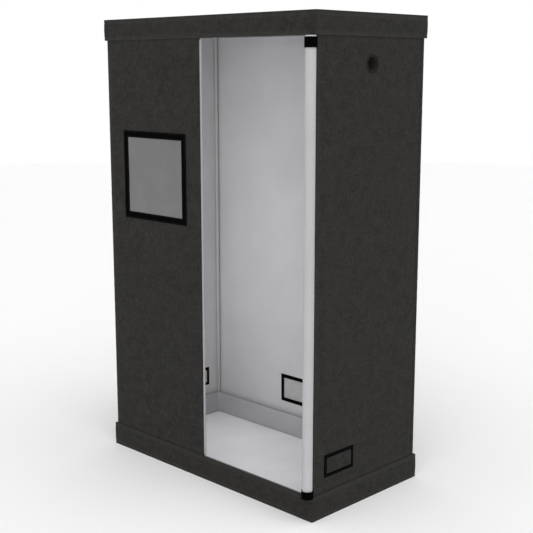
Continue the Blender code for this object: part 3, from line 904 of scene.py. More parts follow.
class Wall:
    """One wall: the way along it, the way out of it, and how its cloth turns round the corners."""

    def __init__(self, along, out, half, far, seed, wrap_low=0.0, wrap_high=0.0, tuck_low=0.0, tuck_high=0.0):
        self.along = along
        self.out = out
        self.half = half
        self.far = far
        self.seed = seed
        self.wrap_low = wrap_low
        self.wrap_high = wrap_high
        self.tuck_low = tuck_low
        self.tuck_high = tuck_high

    def stand(self, u, v):
        """How far the cloth stands out of its flat place.

        It has a belly, long soft folds, and puckers by the seams.
        """
        cloth = settings("cloth")
        held_u = max(0.0, self.half - abs(u))
        held_v = max(0.0, min(v - BASE_TOP, CAP_LOW - v))
        held = min(held_u, held_v)
        across = math.cos(min(1.0, abs(u) / self.half) * math.pi / 2)
        upward = math.sin(min(1.0, max(0.0, (v - BASE_TOP) / (CAP_LOW - BASE_TOP))) * math.pi)
        belly = -cloth.belly * across**0.7 * upward**0.6
        free = min(1.0, held / 0.10)
        folds = noise.noise(Vector((u * 4.2, v * 1.1, self.seed))) * 0.0016
        folds += noise.noise(Vector((u * 7.0 + v * 3.0, v * 5.0 - u * 2.0, self.seed + 7.0))) * 0.0007
        sides = math.exp(-held_u / 0.022) * noise.noise(Vector((v * 46.0, self.seed, 2.0)))
        ends = math.exp(-held_v / 0.022) * noise.noise(Vector((u * 46.0, self.seed, 5.0)))
        stand = belly + folds * free + cloth.pucker * (sides + ends)
        tuck = (self.tuck_high if u > 0.0 else self.tuck_low) * min(1.0, max(0.0, (0.024 - held_u) / 0.008))
        return stand - tuck

    def point(self, u, v, lift=0.0):
        """The point of the cloth's outer face at u along the wall and v up it."""
        stand = self.stand(u, v) + lift
        radius = CORNER_R
        turn = self.half - radius
        side = 1.0 if u > 0 else -1.0
        wraps = self.wrap_high if u > 0 else self.wrap_low
        over = abs(u) - turn
        if not wraps or over <= 0:
            a, d = abs(u), stand
        elif over < radius * math.pi / 2:
            angle = over / radius
            a = turn + (radius + stand) * math.sin(angle)
            d = -radius + (radius + stand) * math.cos(angle)
        else:
            a = self.half + stand
            d = -radius - (over - radius * math.pi / 2)
        return self.along * (side * a) + self.out * (self.far + d) + Z * v

    def lines(self, *through):
        """The cloth's lines along the wall, closer where it turns a corner."""
        radius = CORNER_R
        arc = radius * math.pi / 2
        ends = []
        for side, wrap in ((-1.0, self.wrap_low), (1.0, self.wrap_high)):
            end = self.half - radius + arc + wrap if wrap else self.half - EDGE_INSET
            ends.append(side * end)
            if wrap:
                through += tuple(side * (self.half - radius + arc * k / 4) for k in range(5))
        return lines(ends[0], ends[1], settings("cloth").grid, *through)

    def nearness(self, u, v):
        held = min(abs(self.half - abs(u)), abs(v - BASE_TOP), abs(CAP_LOW - v))
        return max(0.0, 1.0 - held / 0.03)


FRONT = Wall(X, -Y, WALL_X, WALL_Y, 1.0, wrap_low=LAP)
REAR = Wall(-X, Y, WALL_X, WALL_Y, 2.0, wrap_low=LAP, wrap_high=LAP)
RIGHT = Wall(Y, X, WALL_Y, WALL_X, 3.0, tuck_high=UNDER_LAP)
LEFT = Wall(-Y, -X, WALL_Y, WALL_X, 4.0, tuck_low=UNDER_LAP, tuck_high=UNDER_LAP)
WALLS = {"front": FRONT, "rear": REAR, "right": RIGHT, "left": LEFT}


def opening_of(wall, node, lap=0.0):
    """(low u, low v, high u, high v) of a node's box on a wall, drawn in by lap on each side."""
    a, b = low(node), high(node)
    us = sorted((a.dot(wall.along), b.dot(wall.along)))
    return us[0] + lap, a.z + lap, us[1] - lap, b.z - lap


def inside(hole, u, v):
    return hole[0] < u < hole[2] and hole[1] < v < hole[3]


def build_wall(side, holes, round_hole, node):
    wall = WALLS[side]
    us = wall.lines(*(hole[i] for hole in holes for i in (0, 2)), *square_lines(round_hole, 0))
    vs = lines(
        PANEL_LOW,
        PANEL_TOP,
        settings("cloth").grid,
        BASE_TOP,
        CAP_LOW,
        *(hole[i] for hole in holes for i in (1, 3)),
        *square_lines(round_hole, 1),
    )
    bm = sheet_mesh(
        us,
        vs,
        wall.point,
        left_out=lambda u, v: any(inside(hole, u, v) for hole in holes),
        nearness=wall.nearness,
        round_hole=round_hole,
    )
    obj = object_of(side + "_wall", bm, charcoal(), pale())
    solidify(obj, CLOTH, inner_slot=1)
    set_up(baked(obj), SHELL, "outer_fabric", node)


def square_lines(round_hole, axis):
    """Closer lines across the square round a round hole."""
    if round_hole is None:
        return ()
    centre = round_hole[axis]
    half = round_hole[3]
    count = PORT_SQUARE_LINES
    return tuple(centre - half + 2 * half * k / count for k in range(count + 1))


def vent_opening(side):
    wall = WALLS[side]
    return opening_of(wall, side + "_vent_mesh", -0.0006)


def port_hole(side):
    centre = middle(side + "_port_collar")
    wall = WALLS[side]
    return (centre.dot(wall.along), centre.z, high(side + "_port_sleeve").z - centre.z, PORT_SQUARE)


def build_walls():
    doorway = (DOOR_LEFT, DOOR_BOTTOM, WALL_X, DOOR_TOP)
    window = opening_of(FRONT, "window_film")
    build_wall("front", [doorway, window], None, "front_panel")
    build_wall("rear", [vent_opening("rear")], None, "rear_panel")
    for side in ("left", "right"):
        build_wall(side, [vent_opening(side)], port_hole(side), side + "_side_panel")


def wall_path(wall, u, start, end, lift, step=0.02):
    """A line up a wall at u, on the cloth's surface."""
    return [wall.point(u, v, lift) for v in lines(start, end, step)]


def build_wall_seams():
    """Two rows of stitches on each lapped corner seam."""
    lift = settings("trim").thread_radius * 0.6
    turned = CORNER_R * math.pi / 2 - CORNER_R
    paths = []
    for wall, sides in ((FRONT, (-1,)), (REAR, (-1, 1))):
        for side in sides:
            for back in (0.004, LAP - 0.003):
                u = side * (wall.half + turned + back)
                paths.append((wall_path(wall, u, BASE_TOP + 0.004, CAP_LOW - 0.004, lift), False))
    stitches("corner_seam_stitches", paths, (0.0, 0.0, 1.0), SHELL)


# Bands, roof and floor.


def band_loops(profile, out_x, out_y, radius, wobble, seed):
    """Loops round the tent, one for each (outward, height) of the profile."""
    loops = []
    for out, z in profile:
        flat = rounded_rectangle(out_x + out, out_y + out, radius + out, *LOOP_COUNTS)
        loop = []
        for u, v in flat:
            ripple = wobble * noise.noise(Vector((u * 24.0, v * 24.0, z * 9.0 + seed)))
            loop.append(Vector((u, v, z)) + Vector((u, v, 0.0)).normalized() * ripple)
        loops.append(loop)
    return loops


def band_profile(low_z, high_z, depth, hem):
    """Round edges, and a shallow channel where each hem is sewn.

    Out is measured from the band's outer face.
    """
    r = 0.0030
    points = [(-depth, low_z + 0.0006), (-depth + 0.0006, low_z)]
    for k in range(5):
        angle = math.radians(-90 + 90 * k / 4)
        points.append((-r + r * math.cos(angle), low_z + r + r * math.sin(angle)))
    channel = ((-0.0035, 0.0), (-0.0012, -0.0004), (0.0, -0.0010), (0.0012, -0.0004), (0.0035, 0.0))
    points += [(out, low_z + hem + dz) for dz, out in channel]
    span = high_z - low_z - 2 * hem
    for k in range(1, 8):
        share = k / 8
        points.append((0.0009 * math.sin(math.pi * share), low_z + hem + span * share))
    points += [(out, high_z - hem + dz) for dz, out in channel]
    for k in range(5):
        angle = math.radians(90 * k / 4)
        points.append((-r + r * math.cos(angle), high_z - r + r * math.sin(angle)))
    points += [(-depth + 0.0006, high_z), (-depth, high_z - 0.0006)]
    return points


def build_band(name, node, seed):
    depth = BAND_X - BAND_INSET - WALL_X - BAND_BACK_GAP
    profile = band_profile(low(node).z, high(node).z, depth, BAND_HEM)
    wobble = settings("cloth").pucker * 0.9
    loops = band_loops(profile, BAND_X - BAND_INSET, BAND_Y - BAND_INSET, BAND_CORNER, wobble, seed)
    hem_rows = 12
    last = len(profile) - 1
    near = [1.0 if min(k, last - k) < hem_rows else 0.0 for k in range(len(profile))]
    obj = object_of(name, ring_mesh(loops, nearness=near), charcoal())
    set_up(obj, SHELL, "outer_fabric", node)


def band_path(z, lift):
    out = lift - BAND_INSET
    flat = rounded_rectangle(BAND_X + out, BAND_Y + out, BAND_CORNER + lift, *LOOP_COUNTS)
    return [Vector((u, v, z)) for u, v in flat]


def build_bands():
    build_band("cap_band_cover", "cap_band", 3.0)
    build_band("base_band_cover", "base_band", 11.0)
    lift = -0.0006
    paths = []
    for node in ("cap_band", "base_band"):
        for z in (low(node).z + BAND_HEM, high(node).z - BAND_HEM):
            paths.append((band_path(z, lift), True))
    stitches("band_stitches", paths, (0.0, 0.0, 1.0), SHELL)


def piping(name, z, radius):
    """A round cord sewn into the seam round the tent at height z."""
    loops = []
    for k in range(8):
        angle = math.tau * k / 8
        out = radius * math.cos(angle)
        half_x, half_y = BAND_X - radius + out, BAND_Y - radius + out
        flat = rounded_rectangle(half_x, half_y, BAND_CORNER + out, *LOOP_COUNTS)
        loops.append([Vector((u, v, z + radius * math.sin(angle))) for u, v in flat])
    return object_of(name, ring_mesh(loops), charcoal())


def build_roof_and_floor():
    roof_top = high("roof_panel").z
    inset = 0.0022
    edge = BAND_X - inset, BAND_Y - inset
    bars = [middle("roof_bar_left").x, middle("roof_bar_right").x]
    stops = [-WALL_X, bars[0], bars[1], WALL_X]

    def sag(u, v):
        bay = 0.0
        for a, b in zip(stops, stops[1:]):
            if a <= u <= b:
                bay = math.sin(math.pi * (u - a) / (b - a))
        across = math.cos(min(1.0, abs(v) / WALL_Y) * math.pi / 2)
        ripple = noise.noise(Vector((u * 5.0, v * 5.0, 20.0))) * 0.0005
        inner = min(1.0, max(0.0, min(edge[0] - abs(u), edge[1] - abs(v)) / 0.05))
        return -0.0026 * bay * across - abs(ripple) * inner

    us = lines(-edge[0], edge[0], settings("cloth").grid * 1.2)
    vs = lines(-edge[1], edge[1], settings("cloth").grid * 1.2)

    def near(u, v):
        return max(0.0, 1.0 - min(edge[0] - abs(u), edge[1] - abs(v)) / 0.02)

    top = roof_top - CLOTH
    roof = sheet_mesh(us, vs, lambda u, v: Vector((u, v, top + sag(u, v))), nearness=near)
    obj = solidify(object_of("roof_cloth", roof, charcoal(), pale()), CLOTH, inner_slot=1)
    set_up(baked(obj), SHELL, "outer_fabric", "roof_panel")

    floor = sheet_mesh(us, vs, lambda u, v: Vector((u, v, FLOOR_TOP)), nearness=near)
    obj = solidify(object_of("floor_cloth", floor, charcoal()), FLOOR_TOP)
    set_up(baked(obj), SHELL, "outer_fabric", "floor_panel")

    pipe_r = 0.0020
    set_up(piping("roof_piping", roof_top - pipe_r, pipe_r), SHELL, "black_binding")


# Tray.


def tray_rim_height(x, y):
    """The front lip is low, and climbs to the full rim beside each front corner."""
    far = high("floor_tray")
    front_depth = 0.020
    if y > -far.y + front_depth:
        return far.z
    climb_start, climb = 0.032, 0.020
    share = min(1.0, max(0.0, (climb_start - (far.x - abs(x))) / climb))
    smooth = share * share * (3 - 2 * share)
    lip = 0.080
    return lip + (far.z - lip) * smooth


def build_tray():
    far = high("floor_tray")
    under = low("floor_tray").z
    wall = 0.0020
    pad_top = under + 0.012
    radius = 0.006

    def loop_at(inward, height):
        flat = rounded_rectangle(far.x - inward, far.y - inward, radius - inward, 110, 56, 4)
        points = []
        for u, v in flat:
            rim = tray_rim_height(u, v)
            z = under + (rim - under) * height if height <= 1.0 else rim
            lean = noise.noise(Vector((u * 6.0, v * 6.0, 31.0))) * 0.0008 * min(1.0, height)
            inwards = Vector((u, v, 0.0)).normalized() * (abs(lean) + 0.0010 * min(1.0, height))
            points.append(Vector((u, v, z)) - inwards)
        return points

    heights = (0.0, 0.3, 0.6, 0.85, 0.985)
    profile = [(0.0, height) for height in heights] + [(wall * 0.3, 1.0), (wall * 0.7, 1.0)]
    profile += [(wall, height) for height in reversed(heights)]
    # The tray walls take the darkened copy of the lining: painted shade.
    walls = object_of("tray_walls", ring_mesh([loop_at(*step) for step in profile]), tray_side_painted_shade())
    set_up(walls, "tray", "tray_fabric", "floor_tray")

    pad_gap = 0.0012
    edge = (far.x - wall - pad_gap, far.y - wall - pad_gap)

    def pad(u, v):
        inner = min(edge[0] - abs(u), edge[1] - abs(v))
        welt = 0.0035 * math.exp(-inner / 0.006)
        soft = noise.noise(Vector((u * 5.5, v * 5.5, 40.0))) * 0.0009 * min(1.0, inner / 0.05)
        return pad_top - welt + soft - 0.0009

    us, vs = (
        lines(-half, half, 0.012, *(sign * (half - d) for sign in (-1, 1) for d in (0.003, 0.006, 0.010)))
        for half in edge
    )
    floor = sheet_mesh(us, vs, lambda u, v: Vector((u, v, pad(u, v))), nearness=lambda u, v: 0.35)
    obj = solidify(object_of("tray_floor_pad", floor, tray_floor_painted_light()), (pad_top - under) / 2)
    set_up(baked(obj), "tray", "tray_fabric", "floor_tray")

    binding = 0.0016
    loops = []
    for k in range(8):
        angle = math.tau * k / 8
        inward = wall / 2 - (wall / 2 + binding * 0.6) * math.cos(angle)
        ring = loop_at(inward, 1.0)
        loops.append([p + Z * (binding * math.sin(angle) - binding * 0.6) for p in ring])
    rim = object_of("tray_rim_binding", ring_mesh(loops), tray_side_painted_shade())
    set_up(rim, "tray", "tray_fabric")


# Window.


class Patch:
    """A rectangle on a wall: its centre and half its sides."""

    def __init__(self, wall, edges):
        self.wall = wall
        self.centre_u = (edges[0] + edges[2]) / 2
        self.centre_v = (edges[1] + edges[3]) / 2
        self.half_u = (edges[2] - edges[0]) / 2
        self.half_v = (edges[3] - edges[1]) / 2

    def strip(self, profile, corner_r, seed, wobble=0.0003):
        """A strip round the patch. profile is (inset from the outer edge, lift off the cloth)."""
        loops = []
        for inset, lift in profile:
            flat = rounded_rectangle(self.half_u - inset, self.half_v - inset, corner_r - inset, 40, 36, 3)
            loop = []
            for u, v in flat:
                ripple = wobble * noise.noise(Vector((u * 40.0, v * 40.0, seed)))
                loop.append(self.wall.point(self.centre_u + u, self.centre_v + v, lift + ripple))
            loops.append(loop)
        return ring_mesh(loops, nearness=[1.0, *[0.3] * (len(profile) - 2), 1.0])

    def path(self, inset, corner_r, place, counts=(40, 36, 2)):
        """A closed path round the patch, inset from its edge, through place(u, v)."""
        flat = rounded_rectangle(self.half_u - inset, self.half_v - inset, corner_r, *counts)
        return [place(self.centre_u + u, self.centre_v + v) for u, v in flat], True


def strip_profile(width, face, back, edge=0.0006, rows=6):
    """The section of a flat strip with soft edges: across its face, then back underneath."""
    top = [(0.0, back + edge * 0.4), (edge * 0.3, face - edge * 0.3), (edge, face)]
    top += [(width * k / rows, face) for k in range(1, rows)]
    top += [(width - edge, face), (width - edge * 0.3, face - edge * 0.3), (width, back + edge * 0.4)]
    under = [(width - edge, back), (width / 2, back), (edge, back)]
    return top + under


def build_window():
    wall = FRONT
    patch = Patch(wall, opening_of(wall, "window_border_outer"))
    dip = 0.0001
    sides = (
        ("front", "outer", TAPE_STAND, -dip, 51.0),
        ("back", "inner", -CLOTH - TAPE_STAND, -CLOTH + dip, 52.0),
    )
    for side, node, face, back, seed in sides:
        border = patch.strip(strip_profile(WINDOW_TAPE, face, back), 0.004, seed)
        piece = object_of("window_border_" + side, border, tape())
        set_up(piece, SHELL, "black_binding", "window_border_" + node)

    pane = opening_of(wall, "window_film", 0.0004)

    def film_point(u, v):
        inner = min(u - pane[0], pane[2] - u, v - pane[1], pane[3] - v)
        wave = noise.noise(Vector((u * 9.0, v * 5.0, 60.0))) * 0.0018 * min(1.0, inner / 0.06)
        return wall.point(u, v, -0.0007) - Y * wave

    us = lines(pane[0], pane[2], 0.008)
    vs = lines(pane[1], pane[3], 0.008)
    film = object_of("window_pane", sheet_mesh(us, vs, film_point), finish_named("film", window_film))
    solidify(film, 0.0005)
    set_up(baked(film), SHELL, "window_film", "window_film")

    def on_tape(u, v):
        return wall.point(u, v, STITCH_LIFT)

    paths = [patch.path(inset, 0.002, on_tape) for inset in (0.004, WINDOW_TAPE - 0.004)]
    stitches("window_stitches", paths, (0.0, -1.0, 0.0), SHELL)


# Vents.


def vent_screen(side):
    """The woven mesh behind a vent's flap: threads along a grid, through the grille's node tree."""
    wall = WALLS[side]
    hole = opening_of(wall, side + "_vent_mesh")
    cell = settings("trim").mesh_cell
    columns = lines(hole[0], hole[2], cell)
    rows = lines(hole[1], hole[3], cell)
    runs = [((u, rows[0]), (u, rows[-1])) for u in columns]
    runs += [((columns[0], v), (columns[-1], v)) for v in rows]
    grid = path_mesh([([wall.point(u, v, -CLOTH) for u, v in run], False) for run in runs])
    finish = finish_named("screen", lambda: plain("vent_screen", (0.60, 0.60, 0.60), 0.7, grain=500.0))
    values = {"Thread radius": 0.00032, "Finish": finish}
    screen = through_nodes(side + "_vent_screen", grid, tree_named("grille", grille_tree), values)
    set_up(screen, SHELL, "vent_mesh", side + "_vent_mesh")


def build_vent(side):
    """A taped edge that grips the wall, a screen in it and a lined flap over it."""
    wall = WALLS[side]
    body = side + "_flap"
    facing = tuple(wall.out)
    seed = wall.seed * 10.0
    edges = opening_of(wall, side + "_vent_binding")
    width = opening_of(wall, side + "_vent_flap")[0] - edges[0] - FLAP_GAP
    patch = Patch(wall, edges)
    section = strip_profile(width, TAPE_STAND, -CLOTH - TAPE_STAND, rows=4)
    rim = patch.strip(section, 0.003, seed, wobble=0.0)
    set_up(object_of(side + "_vent_edge", rim, tape()), SHELL, "black_binding", side + "_vent_binding")
    vent_screen(side)

    flap = opening_of(wall, side + "_vent_flap", -0.0001)
    hem_width = 0.006

    def from_edge(u, v):
        return min(u - flap[0], flap[2] - u, v - flap[1], flap[3] - v)

    def flap_point(u, v):
        inner = from_edge(u, v)
        soft = noise.noise(Vector((u * 22.0, v * 22.0, seed + 3.0))) * 0.0002 * min(1.0, inner / 0.02)
        hem = 0.0002 if inner < hem_width else 0.0
        return wall.point(u, v, 0.0013 + soft + hem)

    def near(u, v):
        return 0.25 if from_edge(u, v) < hem_width else 0.0

    us = lines(flap[0], flap[2], 0.004)
    vs = lines(flap[1], flap[3], 0.004)
    cloth = sheet_mesh(us, vs, flap_point, nearness=near)
    cover = solidify(object_of(side + "_vent_cover", cloth, charcoal(), pale()), 0.0008, inner_slot=1)
    set_up(baked(cover), body, "outer_fabric", side + "_vent_flap")

    path = patch.path(width * 0.45, 0.001, lambda u, v: wall.point(u, v, STITCH_LIFT))
    stitches(side + "_vent_stitches", [path], facing, SHELL)
    lifted = wall.out * 0.0002
    path = Patch(wall, flap).path(0.004, 0.001, lambda u, v: flap_point(u, v) + lifted, (30, 20, 2))
    stitches(side + "_flap_stitches", [path], facing, body)


# Ports.


def circle_points(centre, across, up, radius, count):
    """Points round a circle in the plane of across and up."""
    angles = [math.tau * k / count for k in range(count)]
    return [centre + across * (radius * math.cos(a)) + up * (radius * math.sin(a)) for a in angles]


def build_port(side):
    """A bound ring on the wall and a pleated sleeve that reaches in from it."""
    wall = WALLS[side]
    collar = middle(side + "_port_collar")
    sleeve_low, sleeve_high = low(side + "_port_sleeve"), high(side + "_port_sleeve")
    centre = Vector((wall.out.x * WALL_X, collar.y, collar.z))
    radius = high(side + "_port_collar").z - collar.z
    hole = sleeve_high.z - collar.z
    stand = wall.stand(collar.dot(wall.along), collar.z)
    face = stand + 0.0018
    section = [
        (radius, stand),
        (radius - 0.0003, face - 0.0004),
        (radius - 0.0010, face),
        (hole + 0.0004, face),
        (hole - 0.0006, face - 0.0004),
        (hole - 0.0006, stand - 0.0010),
        (hole, stand - 0.0012),
        (hole + 0.0002, stand),
    ]
    ring = lathe_mesh(section, centre, wall.out, 72)
    soft_black = finish_named("port_tape", lambda: webbing("port_webbing", colour=(0.014, 0.014, 0.0135)))
    set_up(object_of(side + "_port_binding", ring, soft_black), SHELL, "black_binding", side + "_port_collar")

    length = WALL_X - min(abs(sleeve_low.x), abs(sleeve_high.x))
    mouth_r = hole - 0.0008
    end_r = 0.0215
    hem_at, hem_width = 0.955, 0.03

    def pleats(angle, distance):
        gather = min(1.0, max(0.0, -distance / length)) ** 1.6
        fold = 0.055 * math.sin(15 * angle + 2.0 * math.sin(3 * angle)) + 0.02 * math.sin(7 * angle + 1.0)
        return 1.0 + fold * gather

    steps = 22
    outer = []
    for k in range(steps + 1):
        share = k / steps
        hem = 0.0012 * math.exp(-(((share - hem_at) / hem_width) ** 2))
        outer.append((mouth_r - (mouth_r - end_r) * share**1.3 + hem, -length * share - 0.0004))
    inner = [(r - CLOTH, distance) for r, distance in reversed(outer)]
    tube = lathe_mesh(outer + inner, centre, wall.out, 96, swell=pleats)
    sleeve = object_of(side + "_port_sock", tube, charcoal())
    set_up(sleeve, SHELL, "outer_fabric", side + "_port_sleeve")

    on_ring = centre + wall.out * (face + 0.0001)
    loop = circle_points(on_ring, wall.along, Z, (radius + hole) / 2, 72)
    stitches(side + "_port_stitches", [(loop, True)], tuple(wall.out), SHELL)


# Rolled door.


def roll_centre():
    return middle("door_strap_top")


def cinch(z):
    """The roll is squeezed where each strap holds it."""
    half_strap, spread = 0.012, 0.030
    gaps = [abs(z - middle(node).z) - half_strap for node in ("door_strap_top", "door_strap_bottom")]
    return math.exp(-max(0.0, min(gaps)) / spread)


def build_door_roll():
    """The door, rolled with its lining outwards.

    Its outer end leaves the roll at the back, where it is sewn into the corner seam.
    """
    centre = roll_centre()
    bottom, top = low("door_roll").z, high("door_roll").z
    outer_r = high("door_roll").x - centre.x
    steps_per_turn = 40
    steps = int(ROLL_TURNS * steps_per_turn)
    seam_steps = 3
    hem_width = 0.015
    zs = lines(bottom, top, 0.0165)
    seam_x, seam_y = WALL_X - 0.0004, -WALL_Y - 0.0006

    def spiral(k, z):
        share = k / steps
        angle = math.pi / 2 + math.tau * ROLL_TURNS * share
        body = outer_r - (outer_r - ROLL_CORE) * share
        grip = cinch(z)
        uneven = noise.noise(Vector((math.cos(angle) * 1.6, math.sin(angle) * 1.6 + share * 3.0, z * 3.2)))
        small = noise.noise(Vector((math.cos(angle) * 3.0, math.sin(angle) * 3.0, z * 14.0 + share)))
        crush = 0.0009 * grip + (0.0007 * uneven + 0.0004 * small + 0.0007) * (1.0 - grip)
        radius = body - min(body * 0.2, crush)
        return Vector((centre.x + radius * math.cos(angle), centre.y + radius * math.sin(angle), z))

    def place(k, z):
        """Steps below nought run from the roll to the seam."""
        if k >= 0:
            return spiral(k, z)
        return spiral(0, z).lerp(Vector((seam_x, seam_y, z)), -k / seam_steps)

    def near(k, z):
        return max(0.0, 1.0 - min(z - bottom, top - z) / hem_width)

    width = math.pi * (outer_r + ROLL_CORE) * ROLL_TURNS
    columns = range(-seam_steps, steps + 1)
    bm = sheet_mesh(columns, zs, place, nearness=near)
    uv_layer = bm.loops.layers.uv[UV_NAME]
    for face in bm.faces:
        for loop in face.loops:
            loop[uv_layer].uv.x = width * (loop[uv_layer].uv.x + seam_steps) / len(columns)
    # The lining side of the roll takes the darkened copy of the lining: painted shade.
    obj = object_of("rolled_door", bm, door_lining_painted_shade(), charcoal())
    solidify(obj, DOOR_CLOTH, inner_slot=1)
    set_up(baked(obj), DOOR_BODY, "white_lining", "door_roll")


def build_strap(name, node):
    """Webbing round the roll, its tail lapped over itself and held by hook tape."""
    centre = roll_centre()
    box_low, box_high = low(node), high(node)
    outer_r = (box_high.x - box_low.x) / 2
    thick = 0.0009
    start = math.radians(60)
    total = math.tau + math.radians(70)
    ramp = 0.20
    steps, rows = 84, 10
    edge_gap = 0.0002
    under = outer_r - thick - edge_gap

    def place(k, j):
        turned = total * k / steps
        angle = start + turned
        rise = min(1.0, max(0.0, (turned - (math.tau - ramp)) / ramp))
        z = box_low.z + edge_gap + (box_high.z - box_low.z - 2 * edge_gap) * j / rows
        ripple = noise.noise(Vector((math.cos(angle) * 2, math.sin(angle) * 2, z * 30))) * 0.00015
        radius = under + (thick + 0.0001) * rise + ripple
        return Vector((centre.x + radius * math.cos(angle), centre.y + radius * math.sin(angle), z))

    def near(k, j):
        return 1.0 if j in (0, rows) or k in (0, steps) else 0.0

    bm = sheet_mesh(range(steps + 1), range(rows + 1), place, nearness=near)
    uv_layer = bm.loops.layers.uv[UV_NAME]
    rib_row = 0.003
    for face in bm.faces:
        for loop in face.loops:
            k, j = loop[uv_layer].uv
            loop[uv_layer].uv = (rib_row * j, outer_r * total * k / steps)
    obj = solidify(object_of(name, bm, tape()), thick)
    set_up(baked(obj), DOOR_BODY, "black_binding", node)


def build_straps():
    build_strap("top_tie_strap", "door_strap_top")
    build_strap("bottom_tie_strap", "door_strap_bottom")


def build_door_hems():
    """Stitches round the roll at its hems, on the stretch that shows."""
    centre = roll_centre()
    radius = high("door_roll").x - centre.x - 0.0004
    bottom, top = low("door_roll").z, high("door_roll").z
    angles = [math.radians(10 * k - 260) for k in range(33)]
    around = [(centre.x + math.cos(a) * radius, centre.y + math.sin(a) * radius) for a in angles]
    heights = (bottom + 0.006, top - 0.006, top - 0.009)
    paths = [([Vector((x, y, z)) for x, y in around], False) for z in heights]
    stitches("door_hem_stitches", paths, (0.0, 0.0, 1.0), DOOR_BODY, pale_thread())


# Zip.


def build_zip():
    """The frame's half of the zip: a woven tape sewn to the doorway's edge and a row of nylon teeth. Their
    pale grey is partly painted light: it gives the lit strip along the doorway's left edge.
    """
    z_low, z_high = low("door_zip"), high("door_zip")
    tape_w = 0.0075
    edge_gap, tooth_gap = 0.0010, 0.0005
    right = z_high.x
    front = -WALL_Y
    y = front + 0.0006

    def strip(points, inward):
        """Tape between the outer line and its edge, inward of it."""
        bm = bmesh.new()
        uv_layer = bm.loops.layers.uv.new(UV_NAME)
        bm.verts.layers.float.new(EDGE_NAME)
        rows = []
        far = 0.0
        last = None
        for point, shift in zip(points, inward):
            far += (point - last).length if last is not None else 0.0
            last = point
            rows.append((far, [bm.verts.new(point + shift * share) for share in (-0.8, 0.25, 1.0)]))
        for (a, first), (b, second) in zip(rows, rows[1:]):
            for c in range(2):
                new = bm.faces.new((first[c], second[c], second[c + 1], first[c + 1]))
                for loop, uv in zip(new.loops, ((a, c), (b, c), (b, c + 1), (a, c + 1))):
                    loop[uv_layer].uv = (uv[1] * 0.004, uv[0])
        return bm

    step = 0.02
    top = [Vector((x, y, z_high.z)) for x in lines(z_low.x, right, step)][::-1]
    down = [Vector((z_low.x, y, z)) for z in lines(z_low.z, z_high.z, step)][::-1]
    foot = [Vector((x, y, z_low.z)) for x in lines(z_low.x, right, step)]
    points = top + down[1:] + foot[1:]
    inward = []
    for k, point in enumerate(points):
        way = Vector((0.0, 0.0, 0.0))
        if k < len(top):
            way -= Z
        if k >= len(top) + len(down) - 2:
            way += Z
        if len(top) - 1 <= k <= len(top) + len(down) - 2:
            way += X
        inward.append(way * (tape_w - edge_gap))
    bm = strip(points, inward)
    bmesh.ops.recalc_face_normals(bm, faces=bm.faces)
    obj = object_of("zip_tape", bm, pale_tape_painted_light())
    solidify(obj, 0.0008).modifiers["thickness"].offset = 0.0
    set_up(baked(obj), SHELL, "zip_coil", "door_zip")

    past_edge = (tape_w - tooth_gap) / (tape_w - edge_gap)
    coil = [p + w * past_edge - Y * 0.0007 for p, w in zip(points, inward)]
    # Pale teeth, partly painted light along the doorway's left edge.
    nylon = finish_named("nylon", lambda: plain("pale_nylon_painted_light", (0.29, 0.29, 0.295), 0.4, grain=600.0))
    values = {
        "Spacing": settings("trim").tooth_spacing,
        "Size": (0.0010, 0.0030, 0.0016),
        "Facing": (0.0, -1.0, 0.0),
        "Finish": nylon,
    }
    teeth = through_nodes("zip_teeth", path_mesh([(coil, False)]), tree_named("repeat", repeat_tree), values)
    set_up(teeth, SHELL, "zip_coil")
    rows = []
    for share in (-0.35, 0.30):
        rows.append(([p + w * share - Y * 0.0008 for p, w in zip(points, inward)], False))
    stitches("zip_stitches", rows, (0.0, -1.0, 0.0), SHELL, pale_thread())


def rounded_copy(name, node, width, segments, *materials):
    """A CAD node's shape with its doubles merged and its edges rounded."""
    bm = bmesh.new()
    bm.from_mesh(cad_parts[node].data)
    bmesh.ops.remove_doubles(bm, verts=bm.verts, dist=0.00001)
    bmesh.ops.dissolve_limit(bm, angle_limit=math.radians(1.0), verts=bm.verts, edges=bm.edges)
    obj = object_of(name, bm, *materials)
    bevel = obj.modifiers.new("round", "BEVEL")
    bevel.width = width
    bevel.segments = segments
    bevel.limit_method = "ANGLE"
    bevel.angle_limit = math.radians(40)
    return baked(obj)


def build_sliders():
    """The slider and pull tab at each end of the zip."""
    black = (0.018, 0.018, 0.019)
    metal = finish_named("slider", lambda: plain("black_slider", black, 0.38, 0.9, grain=700.0))
    for end in ("top", "bottom"):
        for part, node in (("slider", f"zip_{end}_slider"), ("tab", f"zip_{end}_pull_tab")):
            piece = rounded_copy(f"{end}_zip_{part}", node, 0.0003, 2, metal)
            set_up(piece, f"{end}_{part}", "slider_metal", node)


# Frame.


# A grey coat, partly painted shade: its tone is kept dark so the corner posts read as the shaded corners.
def tube_paint_and_shade():
    def make():
        colour = tuple(settings("frame").tube_colour)
        return plain("grey_coat_painted_shade", colour, 0.36, grain=900.0, uneven=0.03, depth=0.00006)

    return finish_named("paint", make)


def tube_ends(node):
    """(start, way, length, radius) of a tube from its box."""
    a, b = low(node), high(node)
    size = b - a
    axis = max(range(3), key=lambda i: size[i])
    way = (X, Y, Z)[axis]
    start = (a + b) / 2 - way * (size[axis] / 2)
    return start, way, size[axis], sorted(size)[0] / 2


def plain_profile(radius, length):
    """A tube's wall: out along the outside and back along the bore."""
    bore = radius - TUBE_WALL
    profile = [(radius - TUBE_LIP, 0.0), (radius, TUBE_LIP), (radius, length - TUBE_LIP)]
    return profile + [(radius - TUBE_LIP, length), (bore, length), (bore, 0.0)]


